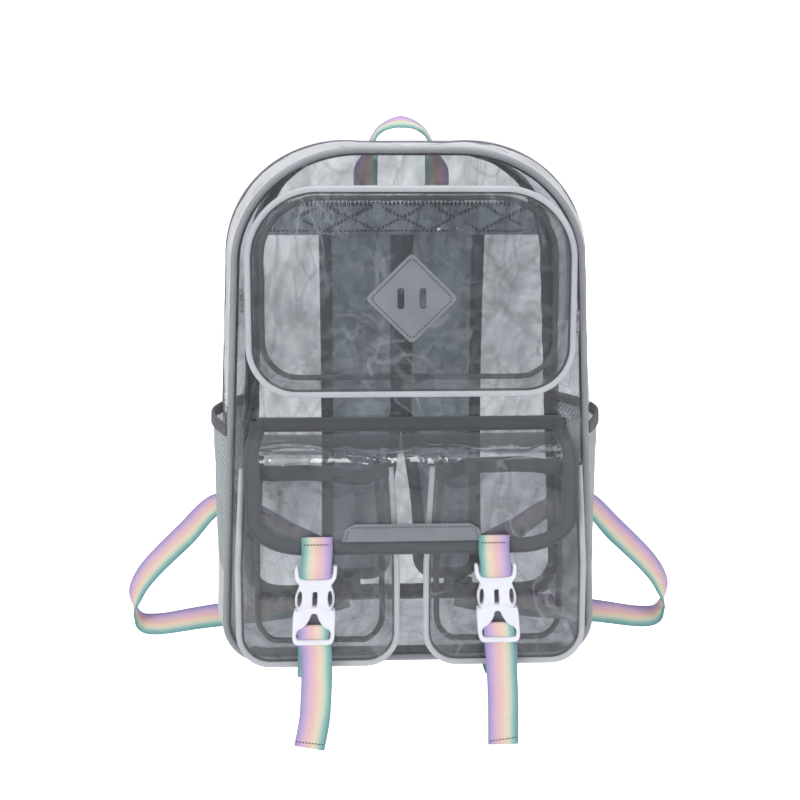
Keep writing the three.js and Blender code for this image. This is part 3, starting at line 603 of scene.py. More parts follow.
def add_bar(verts, faces, points):
    """Adds a small closed bar, given as rings of four points in millimetres."""
    base = len(verts)
    verts += [at(*point) for point in points]
    faces += [tuple(base + corner for corner in face) for face in loft_faces(len(points) // 4, 4)]


def run_lengths(spots):
    """The length along an outline at each of its spots."""
    lengths = [0.0]
    for a, b in zip(spots, spots[1:]):
        lengths.append(lengths[-1] + math.hypot(b[0] - a[0], b[1] - a[1]))
    return lengths


def grid(name, columns, rows, place, closed=False, uv=None):
    """A surface of rows by columns points. place gives a point in millimetres, uv a pair in metres."""
    spots = [(i, j) for j in range(rows) for i in range(columns)]
    verts = [at(*place(i, j)) for i, j in spots]
    uvs = [uv(i, j) if uv else (i / 100, j / 100) for i, j in spots]
    faces = []
    for j in range(rows - 1):
        for i in range(columns if closed else columns - 1):
            k = (i + 1) % columns
            faces.append((j * columns + i, j * columns + k, (j + 1) * columns + k, (j + 1) * columns + i))
    return mesh_object(name, verts, faces, uvs)


def thicken(obj, wall):
    """Gives a sheet its thickness, in millimetres, half on each side."""
    modifier = obj.modifiers.new("wall", "SOLIDIFY")
    modifier.thickness = wall / 1000
    modifier.offset = 0
    return obj


def disc_sheet(name, spots, centre, inset, depth_at, rings):
    """An open sheet inside an outline, as rings that shrink to its centre."""
    count = len(spots)
    cx, cz = centre

    def place(i, j):
        x, z, nx, nz = spots[i]
        share = 1 - (j / rings)
        x, z = x - nx * inset, z - nz * inset
        px, pz = cx + (x - cx) * share, cz + (z - cz) * share
        return px, depth_at(px, pz, share), pz
    obj = grid(name, count, rings + 1, place, closed=True)
    bm = bmesh.new()
    bm.from_mesh(obj.data)
    bmesh.ops.remove_doubles(bm, verts=bm.verts, dist=1e-5)
    bm.to_mesh(obj.data)
    bm.free()
    return obj


def band(name, spots, near, far, rows, offset_at, material, *replaced, wall=0.0, closed=False):
    """A sewn band along an outline, in depth from near to far: single film, or a tape with a wall."""
    lengths = run_lengths(spots)

    def depth_of(j):
        return near + (far - near) * j / (rows - 1)

    def place(i, j):
        x, z, nx, nz = spots[i]
        out = offset_at(spots[i], depth_of(j), j / (rows - 1))
        return x + nx * out, depth_of(j), z + nz * out
    obj = grid(name, len(spots), rows, place, closed, lambda i, j: (lengths[i] / 1000, depth_of(j) / 1000))
    if wall:
        thicken(obj, wall)
    return dress(obj, material, *replaced)


def tube(name, spots, radius, depth, closed=True):
    """A round piping along an outline."""
    lengths = run_lengths(spots)
    verts, uvs = [], []
    for (x, z, nx, nz), length in zip(spots, lengths):
        for j in range(PIPING_SIDES):
            angle = 2 * math.pi * j / PIPING_SIDES
            out = radius * math.cos(angle)
            verts.append(at(x + nx * out, depth + radius * math.sin(angle), z + nz * out))
            uvs.append((radius * angle / 1000, length / 1000))
    return mesh_object(name, verts, loft_faces(len(spots), PIPING_SIDES, closed), uvs)


def smooth_route(stops, steps):
    """Catmull-Rom points, tangents and width directions along a strap's stops."""
    points = [Vector(s[0]) for s in stops]
    sides = [Vector(s[1]) for s in stops]
    result = []
    spans = len(points) - 1
    for k in range(steps + 1):
        t = k / steps * spans
        i = min(spans - 1, int(t))
        f = t - i
        p0, p1, p2, p3 = (points[max(0, i - 1)], points[i], points[i + 1], points[min(spans, i + 2)])
        place = 0.5 * ((2 * p1) + (p2 - p0) * f + (2 * p0 - 5 * p1 + 4 * p2 - p3) * f * f
                       + (3 * p1 - p0 - 3 * p2 + p3) * f ** 3)
        result.append([place, None, sides[i].lerp(sides[i + 1], f)])
    for k, entry in enumerate(result):
        before, after = result[max(0, k - 1)][0], result[min(steps, k + 1)][0]
        entry[1] = (after - before).normalized()
        side = entry[2] - entry[1] * entry[2].dot(entry[1])
        entry[2] = side.normalized()
    return result


def webbing(name, stops, steps, width=WEB_WIDTH, flip=False):
    """Flat webbing along stops of ((x, y, z), (width direction)), with rounded selvedges."""
    route = smooth_route(stops, steps)
    section = []
    for c in range(WEB_COLUMNS):
        thin = 0.55 if c in (0, WEB_COLUMNS - 1) else 1.0
        section.append((width * c / (WEB_COLUMNS - 1) - width / 2, WEB_WALL / 2 * thin))
    loop = section + [(x, -h) for x, h in reversed(section)]
    verts, uvs = [], []
    run = 0.0
    for k, (place, along, side) in enumerate(route):
        if k:
            run += (place - route[k - 1][0]).length
        normal = along.cross(side)
        for x, h in loop:
            verts.append(at(*(place + side * x + normal * h)))
            uvs.append(((-x if flip else x) / 1000, run / 1000))
    return mesh_object(name, verts, loft_faces(len(route), len(loop)), uvs)


def plate(name, outline, holes, wall, y, bevel, z=0.0):
    """A flat plate facing the front, with holes and rounded edges, from outlines in x and z."""
    curve = bpy.data.curves.new(name + "_outline", "CURVE")
    curve.dimensions = "2D"
    curve.fill_mode = "BOTH"
    curve.extrude = (wall / 2 - bevel) / 1000
    curve.bevel_depth = bevel / 1000
    curve.offset = -bevel / 1000
    curve.bevel_resolution = 3
    for ring in [outline, *holes]:
        spline = curve.splines.new("POLY")
        spline.points.add(len(ring) - 1)
        spline.use_cyclic_u = True
        for point, (px, pz) in zip(spline.points, ring):
            point.co = (px / 1000, pz / 1000, 0, 1)
    source = new_object(name + "_source", curve)
    graph = bpy.context.evaluated_depsgraph_get()
    mesh = bpy.data.meshes.new_from_object(source.evaluated_get(graph))
    bpy.data.objects.remove(source)
    bpy.data.curves.remove(curve)
    mesh.name = name
    for vertex in mesh.vertices:
        px, pz, py = vertex.co
        vertex.co = at(0, y, z) + Vector((px, -py, pz))
    bm = bmesh.new()
    bm.from_mesh(mesh)
    bmesh.ops.remove_doubles(bm, verts=bm.verts, dist=1e-6)
    bmesh.ops.recalc_face_normals(bm, faces=bm.faces)
    bm.to_mesh(mesh)
    bm.free()
    return new_object(name, mesh)


def rounded(corners, radius):
    """A closed outline with its corners rounded."""
    ring = []
    count = len(corners)
    for i, (x, z) in enumerate(corners):
        ax, az = corners[i - 1]
        bx, bz = corners[(i + 1) % count]
        r = radius[i] if isinstance(radius, (list, tuple)) else radius
        ta = min(0.5, r / math.hypot(ax - x, az - z))
        tb = min(0.5, r / math.hypot(bx - x, bz - z))
        start = (x + (ax - x) * ta, z + (az - z) * ta)
        end = (x + (bx - x) * tb, z + (bz - z) * tb)
        for k in range(CORNER_PARTS + 1):
            t = k / CORNER_PARTS
            ring.append((
                (1 - t) ** 2 * start[0] + 2 * t * (1 - t) * x + t * t * end[0],
                (1 - t) ** 2 * start[1] + 2 * t * (1 - t) * z + t * t * end[1],
            ))
    return ring


def rectangle(low, high, bottom, top, radius):
    return rounded([(low, bottom), (high, bottom), (high, top), (low, top)], radius)


def stitches(name, lines, pitch=3.2, length=1.9, thick=0.36, lift=(0, -1, 0)):
    """Sewn stitches along polylines in millimetres, as one joined mesh of short rounded bars."""
    verts, faces = [], []
    up = Vector(lift).normalized()
    for line in lines:
        points = [Vector(p) for p in line]
        run = 0.0
        target = pitch / 2
        for a, b in zip(points, points[1:]):
            size = (b - a).length
            if size < 1e-6:
                continue
            along = (b - a) / size
            side = along.cross(up).normalized()
            while target <= run + size:
                centre = a + along * (target - run)
                add_bar(verts, faces, [
                    centre + along * (t * length) + side * (s * thick * w) + up * (u * thick * w)
                    for t, w in ((-0.5, 0.35), (-0.25, 1.0), (0.25, 1.0), (0.5, 0.35))
                    for s, u in ((-1, 0), (0, 1), (1, 0), (0, -1))
                ])
                target += pitch
            run += size
    dress(mesh_object(name, verts, faces), THREAD)


def run_where(spots, keep):
    """The unbroken run of a closed outline's spots that are to be kept."""
    kept = [keep(s) for s in spots]
    count = len(spots)
    start = next(i for i in range(count) if kept[i] and not kept[i - 1])
    part = []
    i = start
    while kept[i % count] and len(part) < count:
        part.append(spots[i % count])
        i += 1
    return part


# Camera and studio

def add_camera():
    """Level with the handle, looking slightly down, turned a little to the right."""
    data = bpy.data.cameras.new("camera")
    data.lens = 45.0
    data.sensor_width = 36.0
    data.shift_y = -0.10
    camera = new_object("camera", data)
    camera.location = at(-39.8, -834.1, 400.4)
    camera.rotation_euler = (math.radians(83), 0, math.radians(-2.2))
    bpy.context.scene.camera = camera


# Each light: its name, place, width, height, power and the point it looks at. All in metres and watts.
LIGHTS = [
    ("key", (-1.3, -1.5, 0.9), 0.9, 1.3, 11, (0, 0, -0.25)),
    ("fill", (1.6, -1.1, 0.3), 0.5, 1.6, 5, (0, 0, -0.25)),
    ("top", (0.1, -0.3, 1.5), 1.3, 0.8, 9, (0, 0, -0.25)),
    ("long_box", (-0.03, -0.42, 0.9), 0.17, 0.75, 4.5, (-0.03, -0.4, -0.278)),
    ("strip_left", (-1.0, -1.1, -0.15), 0.08, 0.9, 2.2, (-0.1, -0.18, -0.2)),
    ("strip_right", (1.05, -1.0, -0.2), 0.08, 0.9, 2.2, (0.1, -0.18, -0.2)),
    ("glint_box", (-0.75, -1.5, 0.35), 0.16, 0.2, 1.6, (0, -0.2, -0.15)),
]


def add_lights():
    for name, spot, width, height, power, aim in LIGHTS:
        data = bpy.data.lights.new(name, "AREA")
        data.shape = "RECTANGLE"
        data.size = width
        data.size_y = height
        data.energy = power
        light = new_object(name, data)
        light.location = spot
        light.rotation_euler = (Vector(aim) - Vector(spot)).to_track_quat("-Z", "Y").to_euler()


def add_world():
    """A pale sky, brighter for the camera than for the light that falls on the bag."""
    world = bpy.data.worlds.new("studio")
    world.use_nodes = True
    tree = world.node_tree
    background = tree.nodes["Background"]
    background.inputs["Color"].default_value = (0.93, 0.95, 1.0, 1)
    seen = tree.nodes.new("ShaderNodeLightPath").outputs["Is Camera Ray"]
    strength = tree.nodes.new("ShaderNodeMapRange")
    strength.inputs["To Min"].default_value = 0.42
    strength.inputs["To Max"].default_value = 1.1
    tree.links.new(seen, strength.inputs["Value"])
    tree.links.new(strength.outputs["Result"], background.inputs["Strength"])
    bpy.context.scene.world = world


def add_backdrop():
    """A white floor and wall in one sheet. It shines for the camera and lights the bag less."""
    nodes = Nodes("pale_backdrop")
    seen = nodes.add("ShaderNodeLightPath").outputs["Is Camera Ray"]
    shader = nodes.shader("BsdfPrincipled", Base_Color=(0.8, 0.8, 0.8, 1), Roughness=0.9,
                          Emission_Color=(1, 1, 1, 1), Emission_Strength=nodes.span(seen, 0, 1, 0.4, 0.95))
    profile = [(-2.2, -0.64), (1.2, -0.64), (1.9, -0.52), (2.3, -0.04), (2.4, 2.6)]
    verts = [(x, y, z) for y, z in profile for x in (-3.2, 3.2)]
    faces = [(2 * i, 2 * i + 1, 2 * i + 3, 2 * i + 2) for i in range(len(profile) - 1)]
    backdrop = mesh_object("backdrop", verts, faces)
    backdrop.data.materials.append(nodes.finish(shader))


# Body

def panel_depth(x, z, share):
    """The front panel's dome with dents and creases. share is 1 at the rim and 0 in the middle."""
    edge = clamp((1 - share) * 6)
    dents = wrinkle(x, 0, z, 60, 2.2, 3.1) + wrinkle(x * 1.7, 0, z * 0.8, 22, 0.7, 8.4)
    return -DOME * (1 - share * share) + edge * (dents * 0.6 - crease(x, z, 48, 0.8, 2.3))


def build_body():
    body = body_outline()
    build_panels(body)
    build_body_seams(body)
    build_gusset(body)
    build_base_and_sides(body)


def build_panels(body):
    centre = (0, BODY_HEIGHT / 2)
    front = disc_sheet("front_sheet", body_outline(3.0), centre, 2.0, panel_depth, 70)
    dress(front, PVC, "front_panel")

    def back_depth(x, z, share):
        return DEPTH + min(1, (1 - share) * 6) * wrinkle(x, 5, z, 55, 1.6, 7.7)
    dress(disc_sheet("back_sheet", body, centre, 2.0, back_depth, 24), PVC, "back_panel")
    dress(tube("front_edge_piping", body, 2.7, 0), EDGE_PIPING, "front_piping")


def build_body_seams(body):
    """Seam tape inside the piping, the folded tape that binds the back seam, and a dark strip behind the
    piping that stands partly for its seam flange and partly for painted shade in the gap between piping and
    gusset.
    """

    def seam(spot, depth, share):
        return -2.2 - (7.5 if spot[3] < -0.9 else 2.0) * share
    band("front_seam_tape", body, 1.2, 2.4, 3, seam, DARK, wall=0.7, closed=True)
    fold = [(1.8, -4.5), (3.4, -2.0), (3.6, 1.0), (2.4, 3.0), (-0.5, 3.2), (-3.2, 2.6)]

    def fold_place(i, j):
        x, z, nx, nz = body[i]
        out, depth = fold[j]
        if j == len(fold) - 1:
            out -= 7.0 * clamp((420 - z) / 60)
        out += 0.35 * math.sin(i * 0.9)
        return x + nx * out, DEPTH + depth, z + nz * out
    binding = grid("back_seam_binding", len(body), len(fold), fold_place, True,
                   lambda i, j: (j * 0.004, i * 0.005))
    dress(thicken(binding, 1.0), DARK, "back_binding")
    # partly painted shade: the dark strip on the gusset right behind the piping stands for the shaded gap
    # between them as well as the piping's flange
    band("front_edge_welt_and_gap_shade", body, 2.4, 4.6, 3, lambda s, d, h: body_offset(s, d) + 0.25, DARK,
         wall=0.5, closed=True)


def loose_offset(seed, amount):
    """The gusset's bulge with dents that fade towards its seams."""
    def offset(spot, depth, share):
        dents = dent(spot, depth, 38, amount, seed)
        return body_offset(spot, depth) + math.sin(math.pi * share) * dents
    return offset


def build_gusset(body):
    """Clear bands on both sides of the zip."""
    arch = run_where(body, lambda s: s[1] > ZIP_END)
    front_bulge, rear_bulge = loose_offset(1.3, 3.0), loose_offset(2.9, 3.0)
    band("gusset_front_sheet", arch, 1.5, ZIP_NEAR + 1, 12, front_bulge, PVC_SIDE, "gusset_front")
    band("gusset_rear_sheet", arch, ZIP_FAR - 1, DEPTH - 2, 12, rear_bulge, PVC_SIDE, "gusset_rear")
    band("main_zip_tape", arch, ZIP_NEAR, ZIP_FAR, 9, lambda s, d, h: body_offset(s, d) + 0.4, TAPE,
         "main_zip", wall=1.0)
    zip_coil("main_zip_coil", arch, (ZIP_NEAR + ZIP_FAR) / 2, lambda s, d: body_offset(s, d) + 1.3, 3.0)


def build_base_and_sides(body):
    """The clear floor, its pale wraps at the corners, and the clear side walls."""
    base = run_where(body, lambda s: s[1] < BASE_BAND + 4)
    floor = run_where(body, lambda s: s[1] < 9)
    band("base_floor_sheet", floor, 1.5, DEPTH - 2, 22, loose_offset(5.2, 0.8), PVC_FLOOR)
    for name, side in SIDES:
        wrap = run_where(base, lambda s: s[0] * side > 0 and s[1] > 6)
        band(f"base_wrap_{name}", wrap, 1.5, DEPTH - 2, 22, loose_offset(5.2, 0.8), PALE,
             "base_band", wall=1.6)
        wall = run_where(body, lambda s: s[0] * side > 0 and BASE_BAND - 3 < s[1] < ZIP_END + 5)
        band(f"side_wall_{name}", wall, 1.5, DEPTH - 2, 20, loose_offset(6.0 + side, 1.2), PVC_SIDE,
             f"side_panel_{name}")


def zip_coil(name, spots, depth, offset_at, width):
    """The zip's closed coil: a row of small bars across the tape's middle."""
    verts, faces = [], []
    run = 0.0
    target = 0.0
    for a, b in zip(spots, spots[1:]):
        size = math.hypot(b[0] - a[0], b[1] - a[1])
        while target <= run + size:
            t = (target - run) / size
            x, z, nx, nz = (a[k] + (b[k] - a[k]) * t for k in range(4))
            out = offset_at((x, z, nx, nz), depth)
            add_bar(verts, faces, [
                (x + nx * (out + u) - nz * s, depth + y, z + nz * (out + u) + nx * s)
                for y, w in ((-width / 2, 0.6), (0, 1.0), (width / 2, 0.6))
                for s, u in ((-0.45, 0), (0, 0.55 * w), (0.45, 0), (0, -0.3))
            ])
            target += COIL_PITCH
        run += size
    dress(mesh_object(name, verts, faces), TAPE)


def build_side_pocket(name, side):
    body = body_outline()
    top = 196.0
    wall = run_where(body, lambda s: s[0] * side > 0 and BASE_BAND - 4 < s[1] < top + 3)

    def bulge(spot, depth, share):
        rise = clamp((spot[1] - BASE_BAND) / (top - BASE_BAND))
        return (body_offset(spot, depth) + 1.7 + 7 * rise * math.sin(math.pi * share)
                + dent(spot, depth, 30, 0.8, 4.4))
    net = band(f"mesh_{name}", wall, 3, DEPTH - 3, 26, bulge, MESH, f"mesh_pocket_{name}")
    hem = run_where(body, lambda s: s[0] * side > 0 and top - 1 < s[1] < top + 13)

    def gather(spot, depth, share):
        pleats = 0.5 * math.sin(depth * 1.1)
        return body_offset(spot, depth) + 2.6 + 7 * math.sin(math.pi * share) + pleats
    band(f"mesh_hem_tape_{name}", hem, 3, DEPTH - 3, 90, gather, DARK, f"mesh_hem_{name}", wall=2.0)


# Top pocket

def build_top_pocket():
    spots = top_pocket_outline()
    y = -TOP_POCKET_DEPTH
    centre = (0, (TOP_POCKET_LOW + TOP_POCKET_HIGH) / 2)

    def depth_at(x, z, share):
        edge = min(1, (1 - share) * 5) * clamp((abs(x) + abs(z - PATCH_Z) - 38) / 14)
        dents = wrinkle(x, 9, z, 45, 2.4, 11.3) + wrinkle(x * 1.5, 9, z, 17, 0.7, 1.9)
        return y - 1.2 * (1 - share * share) + edge * (dents * 0.7 - crease(x, z, 34, 0.9, 5.1))
    front = disc_sheet("top_pocket_sheet", top_pocket_outline(2.2), centre, 1.6, depth_at, 60)
    dress(front, PVC_THIN, "top_pocket_front")
    dress(tube("top_pocket_edge_piping", spots, 2.4, y), PIPING, "top_pocket_piping")
    band("top_pocket_seam_tape", spots, y + 1.2, y + 2.2, 3, seam_rim, DARK, wall=0.6, closed=True)
    build_top_pocket_gusset(spots, y + 2.8)

    def back_rim(spot, depth, share):
        return -TOP_POCKET_TAPER - 4.5 + 4.5 * share + dent(spot, 0, 9, 0.5, 6.0)
    band("top_pocket_back_seam", spots, -4.6, -5.4, 3, back_rim, DARK, wall=0.6, closed=True)
    build_slider("left", -1, y + 13.6, 327)
    build_slider("right", 1, y + 13.6, 309)


def seam_rim(spot, depth, share):
    """The tape inside a pocket's piping runs inwards from it."""
    return -2.0 - 1.8 * share


def build_top_pocket_gusset(spots, near):
    """The pocket's zip between its lip and its rear band, and the clear band below it."""
    def taper(spot, depth, share=0.0):
        return TOP_POCKET_TAPER * (-TOP_POCKET_DEPTH - depth) / TOP_POCKET_DEPTH

    def loose(spot, depth, share):
        dents = dent(spot, depth, 24, 2.4, 2.2)
        return taper(spot, depth) + math.sin(math.pi * share) * (1.5 + dents)
    arch = run_where(spots, lambda s: s[1] > TOP_POCKET_ZIP_END)
    low = run_where(spots, lambda s: s[1] < TOP_POCKET_ZIP_END + 4)
    band("top_pocket_lip_sheet", arch, near - 1, near + 5.4, 4, taper, GREY, "top_pocket_lip")
    band("top_pocket_zip_tape", arch, near + 5, near + 17, 7, lambda s, d, h: taper(s, d) + 0.3, TAPE,
         "top_pocket_zip", wall=0.9)
    zip_coil("top_pocket_zip_coil", arch, near + 11, lambda s, d: taper(s, d) + 1.0, 2.6)
    band("top_pocket_rear_sheet", arch, near + 16.6, -2.5, 8, loose, PVC_BAND, "top_pocket_rear_band")
    band("top_pocket_base_sheet", low, near - 1, -2.5, 14, loose, PVC_BAND, "top_pocket_base_band")


def build_slider(name, side, y, z):
    """A waisted slider body on the coil and its hanging pull, turned to the front."""
    x = side * (TOP_POCKET_HALF + 1.6)
    bm = bmesh.new()
    bmesh.ops.create_cube(bm, size=1.0)
    bmesh.ops.subdivide_edges(bm, edges=bm.edges, cuts=3, use_grid_fill=True)
    for vertex in bm.verts:
        px, py, pz = vertex.co
        waist = 1 - 0.35 * math.cos(math.pi * pz) ** 2
        vertex.co = at(x + px * 3.4 * (1 - 0.4 * abs(pz)), y + py * 7.5 * waist, z + pz * 11)
    mesh = bpy.data.meshes.new(f"slider_{name}")
    bm.to_mesh(mesh)
    bm.free()
    dress(new_object(f"slider_{name}", mesh), METAL, f"top_pocket_slider_{name}")
    pull = plate(f"slider_pull_{name}", rectangle(-2.6, 2.6, -19, 1, 2.0), [
        rectangle(-1.3, 1.3, -3.2, -0.6, 0.8), rectangle(-1.2, 1.2, -16.5, -9, 1.0),
    ], 1.3, 0, 0.35)
    anchor = at(x + side * 2.4, y, z - 1)
    for vertex in pull.data.vertices:
        px, py, pz = vertex.co - at(0, 0, 0)
        vertex.co = anchor + Vector((side * (py + (px + 0.0026) * 0.75), px * 0.66, pz))
    dress(pull, METAL)


def diamond(half_width, half_height):
    return rounded([(0, half_height), (-half_width, 0), (0, -half_height), (half_width, 0)], 4)


def build_patch():
    y = -TOP_POCKET_DEPTH - 1.75
    slots = [rectangle(x - 2.7, x + 2.7, -8.4, 8.4, 2.5) for x in (-8.8, 8.8)]
    patch = plate("lash_patch", diamond(37, 36.5), slots, 1.5, y, 0.35, PATCH_Z)
    dress(patch, GREY, "diamond_patch")
    line = [(x, y - 0.9, PATCH_Z + z) for x, z in diamond(33, 32.5)]
    stitches("lash_patch_stitches", [line + [line[0]]], 3.1, 1.8, 0.52)


# Lower pockets

# Each pocket's mouth rises and falls in millimetres, from its left end (share 0) to its right end.
MOUTH_RISE = {
    "left": [(0, 0), (0.21, 1.4), (0.41, 2.2), (0.58, 0), (0.71, -2.8), (0.81, -2.1), (0.9, 2.2), (1, 6.5)],
    "right": [(0, 2.2), (0.08, -0.6), (0.17, 2.2), (0.28, 6.6), (0.36, 7.4), (0.5, 7.1), (0.65, 6.4),
              (0.8, 5), (1, 2.2)],
}


def along(table, share):
    """A smooth value at a share of the way along a table of (share, value)."""
    for (a, low), (b, high) in zip(table, table[1:]):
        if share <= b:
            t = max(0, (share - a) / (b - a))
            return low + (high - low) * smooth(t)
    return table[-1][1]


def build_low_pocket(name, side):
    spots = low_pocket_outline(side)
    y = -LOW_POCKET_DEPTH
    middle = side * (LOW_POCKET_INNER + LOW_POCKET_OUTER) / 2
    left = sorted((s for s in spots if s[0] < middle), key=lambda s: s[1])
    right = sorted((s for s in spots if s[0] >= middle), key=lambda s: s[1])
    low_pocket_front(name, side, left, right)
    dress(tube(f"low_pocket_edge_piping_{name}", spots, 2.4, y, False), PIPING, f"low_pocket_piping_{name}")

    def loose(spot, depth, share):
        taper = LOW_POCKET_TAPER * (y - depth) / LOW_POCKET_DEPTH * abs(spot[2])
        dents = dent(spot, depth, 26, 2.8, side * 3.3)
        return taper + math.sin(math.pi * share) * (1.0 + dents)
    band(f"low_pocket_gusset_sheet_{name}", spots, y + 1.8, -2.6, 14, loose, PVC_BAND,
         f"low_pocket_gusset_{name}")
    band(f"low_pocket_seam_tape_{name}", spots, y + 1.2, y + 2.2, 3, seam_rim, DARK, wall=0.6)

    def back_rim(spot, depth, share):
        wave = dent(spot, 0, 9, 0.6, side)
        return -LOW_POCKET_TAPER * abs(spot[2]) - 5.0 + 5.0 * share + wave
    band(f"low_pocket_back_seam_{name}", spots, -4.4, -5.2, 3, back_rim, DARK, wall=0.6)
    low_pocket_mouth(name, edge_at(left, LOW_POCKET_EDGE) - 2.5, edge_at(right, LOW_POCKET_EDGE) + 2.5)


def edge_at(spots, z):
    """The x of an outline's side at a height, from its spots in order of height."""
    for a, b in zip(spots, spots[1:]):
        if a[1] <= z <= b[1] and b[1] - a[1] > 1e-6:
            return a[0] + (b[0] - a[0]) * (z - a[1]) / (b[1] - a[1])
    return spots[-1][0]


def low_pocket_front(name, side, left, right):
    """The dented front film, gathered towards its wavy mouth."""
    columns, rows = 70, 90
    low = LOW_POCKET_LOW + 0.8

    def place(i, j):
        share = (j / (rows - 1)) ** 1.35
        z = low + (LOW_POCKET_EDGE - low) * share
        a, b = edge_at(left, z), edge_at(right, z)
        t = i / (columns - 1)
        x = a + (b - a) * t
        z += share ** 3 * along(MOUTH_RISE[name], t)
        fade = min(1, 6 * t, 6 * (1 - t), 8 * share)
        belly = -3.0 * math.sin(math.pi * t) * math.sin(math.pi * min(1, share * 1.1 + 0.05))
        dents = wrinkle(x, 30, z, 34, 3.0, side * 4.0) + wrinkle(x, 30, z * 1.6, 14, 0.8, side * 2.0)
        dents -= crease(x, z, 30, 0.9, 3.0 + side)
        mouth_wave = 1.6 * share ** 4 * math.sin(4 * math.pi * t)
        return x, -LOW_POCKET_DEPTH + fade * (belly * 0.5 + dents * 0.8) + mouth_wave, z
    front = grid(f"low_pocket_sheet_{name}", columns, rows, place)
    dress(front, PVC_THIN, f"low_pocket_front_{name}")


def low_pocket_mouth(name, low_x, high_x):
    """A wavy folded tape along the front film's top edge."""
    def place(i, j):
        t = i / 59
        x = low_x + (high_x - low_x) * t
        wave = 2.0 * math.sin(4 * math.pi * t + 0.4) + 0.8 * math.sin(11 * t)
        z = LOW_POCKET_MOUTH - 12.5 * (1 - j / 5) + along(MOUTH_RISE[name], t)
        return x, -LOW_POCKET_DEPTH + wave * 0.8, z
    hem = grid(f"low_pocket_mouth_tape_{name}", 60, 6, place, False, lambda i, j: (j * 0.0025, i * 0.002))
    dress(thicken(hem, 2.0), DARK, f"low_pocket_mouth_{name}")


# Flap

FLAP_SEAT = -DOME - 0.6 - 0.4 - 1.2
FLAP_PROFILE = [
    (FLAP_SEAT, 216.0), (FLAP_SEAT, 210.0), (FLAP_SEAT - 0.5, 204.0), (FLAP_SEAT - 12, 199.0),
    (-FLAP_FRONT + 10, 193.0), (-FLAP_FRONT, 180.0), (-FLAP_FRONT - 2, 156.5), (-FLAP_FRONT, FLAP_LOW),
]


def flap_curve():
    stops = [((0, y, z), (1, 0, 0)) for y, z in FLAP_PROFILE]
    route = smooth_route(stops, 140)
    lengths = [0.0]
    for a, b in zip(route, route[1:]):
        lengths.append(lengths[-1] + (b[0] - a[0]).length)
    return route, lengths


FLAP_ROUTE, FLAP_LENGTHS = flap_curve()
FLAP_LENGTH = FLAP_LENGTHS[-1]


def on_flap(x, down, out, waves=True):
    """A point on the flap: how far down along its curve, and how far out from it."""
    down = min(max(down, 0), FLAP_LENGTH - 1e-6)
    k = next(i for i in range(len(FLAP_LENGTHS) - 1) if FLAP_LENGTHS[i + 1] > down)
    t = (down - FLAP_LENGTHS[k]) / (FLAP_LENGTHS[k + 1] - FLAP_LENGTHS[k])
    a, b = FLAP_ROUTE[k][0], FLAP_ROUTE[k + 1][0]
    point = a.lerp(b, t)
    along = (b - a).normalized()
    fade = max(0, 1 - down / 36)
    bow = DOME * (x / BASE_HALF) ** 2 * fade
    free = clamp((down - 20) / 40) if waves else 0
    ripple = free * wrinkle(x, 50, down, 55, 1.4, 9.1)
    return x, point.y + along.z * (out + ripple) + bow, point.z - along.y * (out + ripple)


def flap_half(down):
    """Half of the flap's width at a way down along it."""
    left = FLAP_LENGTH - down
    if left >= FLAP_CORNER_DROP:
        return FLAP_HALF + 2.5 * math.sin(math.pi * min(1, down / 75))
    rise = 1 - left / FLAP_CORNER_DROP
    return FLAP_HALF - FLAP_CORNER_REACH * (1 - math.sqrt(max(0, 1 - rise * rise)))


def flap_fold(x, down):
    """The long fold that runs down from the flap's top left corner towards its middle."""
    share = (x + 124) / 110
    if share < -0.1 or share > 1.15:
        return 0
    path = 38 - 9 * math.sin(math.pi * clamp(share * 1.6)) + 26 * max(0, share - 0.15)
    ends = min(1, (share + 0.1) * 5) * min(1, (1.15 - share) * 4)
    return 1.1 * ends * math.exp(-((down - path) / 1.9) ** 2)


def build_flap():
    seam = grid("flap_seam_tape", 60, 6, lambda i, j: on_flap(-129 + 258 * i / 59, 12.5 * j / 5, 0.3),
                False, lambda i, j: (j * 0.0025, i * 0.0044))
    dress(thicken(seam, 1.8), DARK, "flap_seam")
    rows, columns = 110, 150

    def place(i, j):
        down = FLAP_SEWN + (FLAP_LENGTH - FLAP_INSET - FLAP_SEWN) * j / (rows - 1)
        half = flap_half(down) - FLAP_INSET
        x = -half + 2 * half * i / (columns - 1)
        fade = clamp((down - 18) / 12) * min(1, (half - abs(x)) / 10)
        return on_flap(x, down, fade * (flap_fold(x, down) + crease(x, down, 32, 0.7, 7.2)))
    dress(grid("flap_clear_sheet", columns, rows, place), PVC_THIN, "flap_sheet")
    build_flap_binding()
    rows = [[on_flap(-119 + 238 * i / 60, down, 1.4) for i in range(61)] for down in (2.6, 10.0)]
    stitches("flap_seam_stitches", rows)
    build_flap_tab()


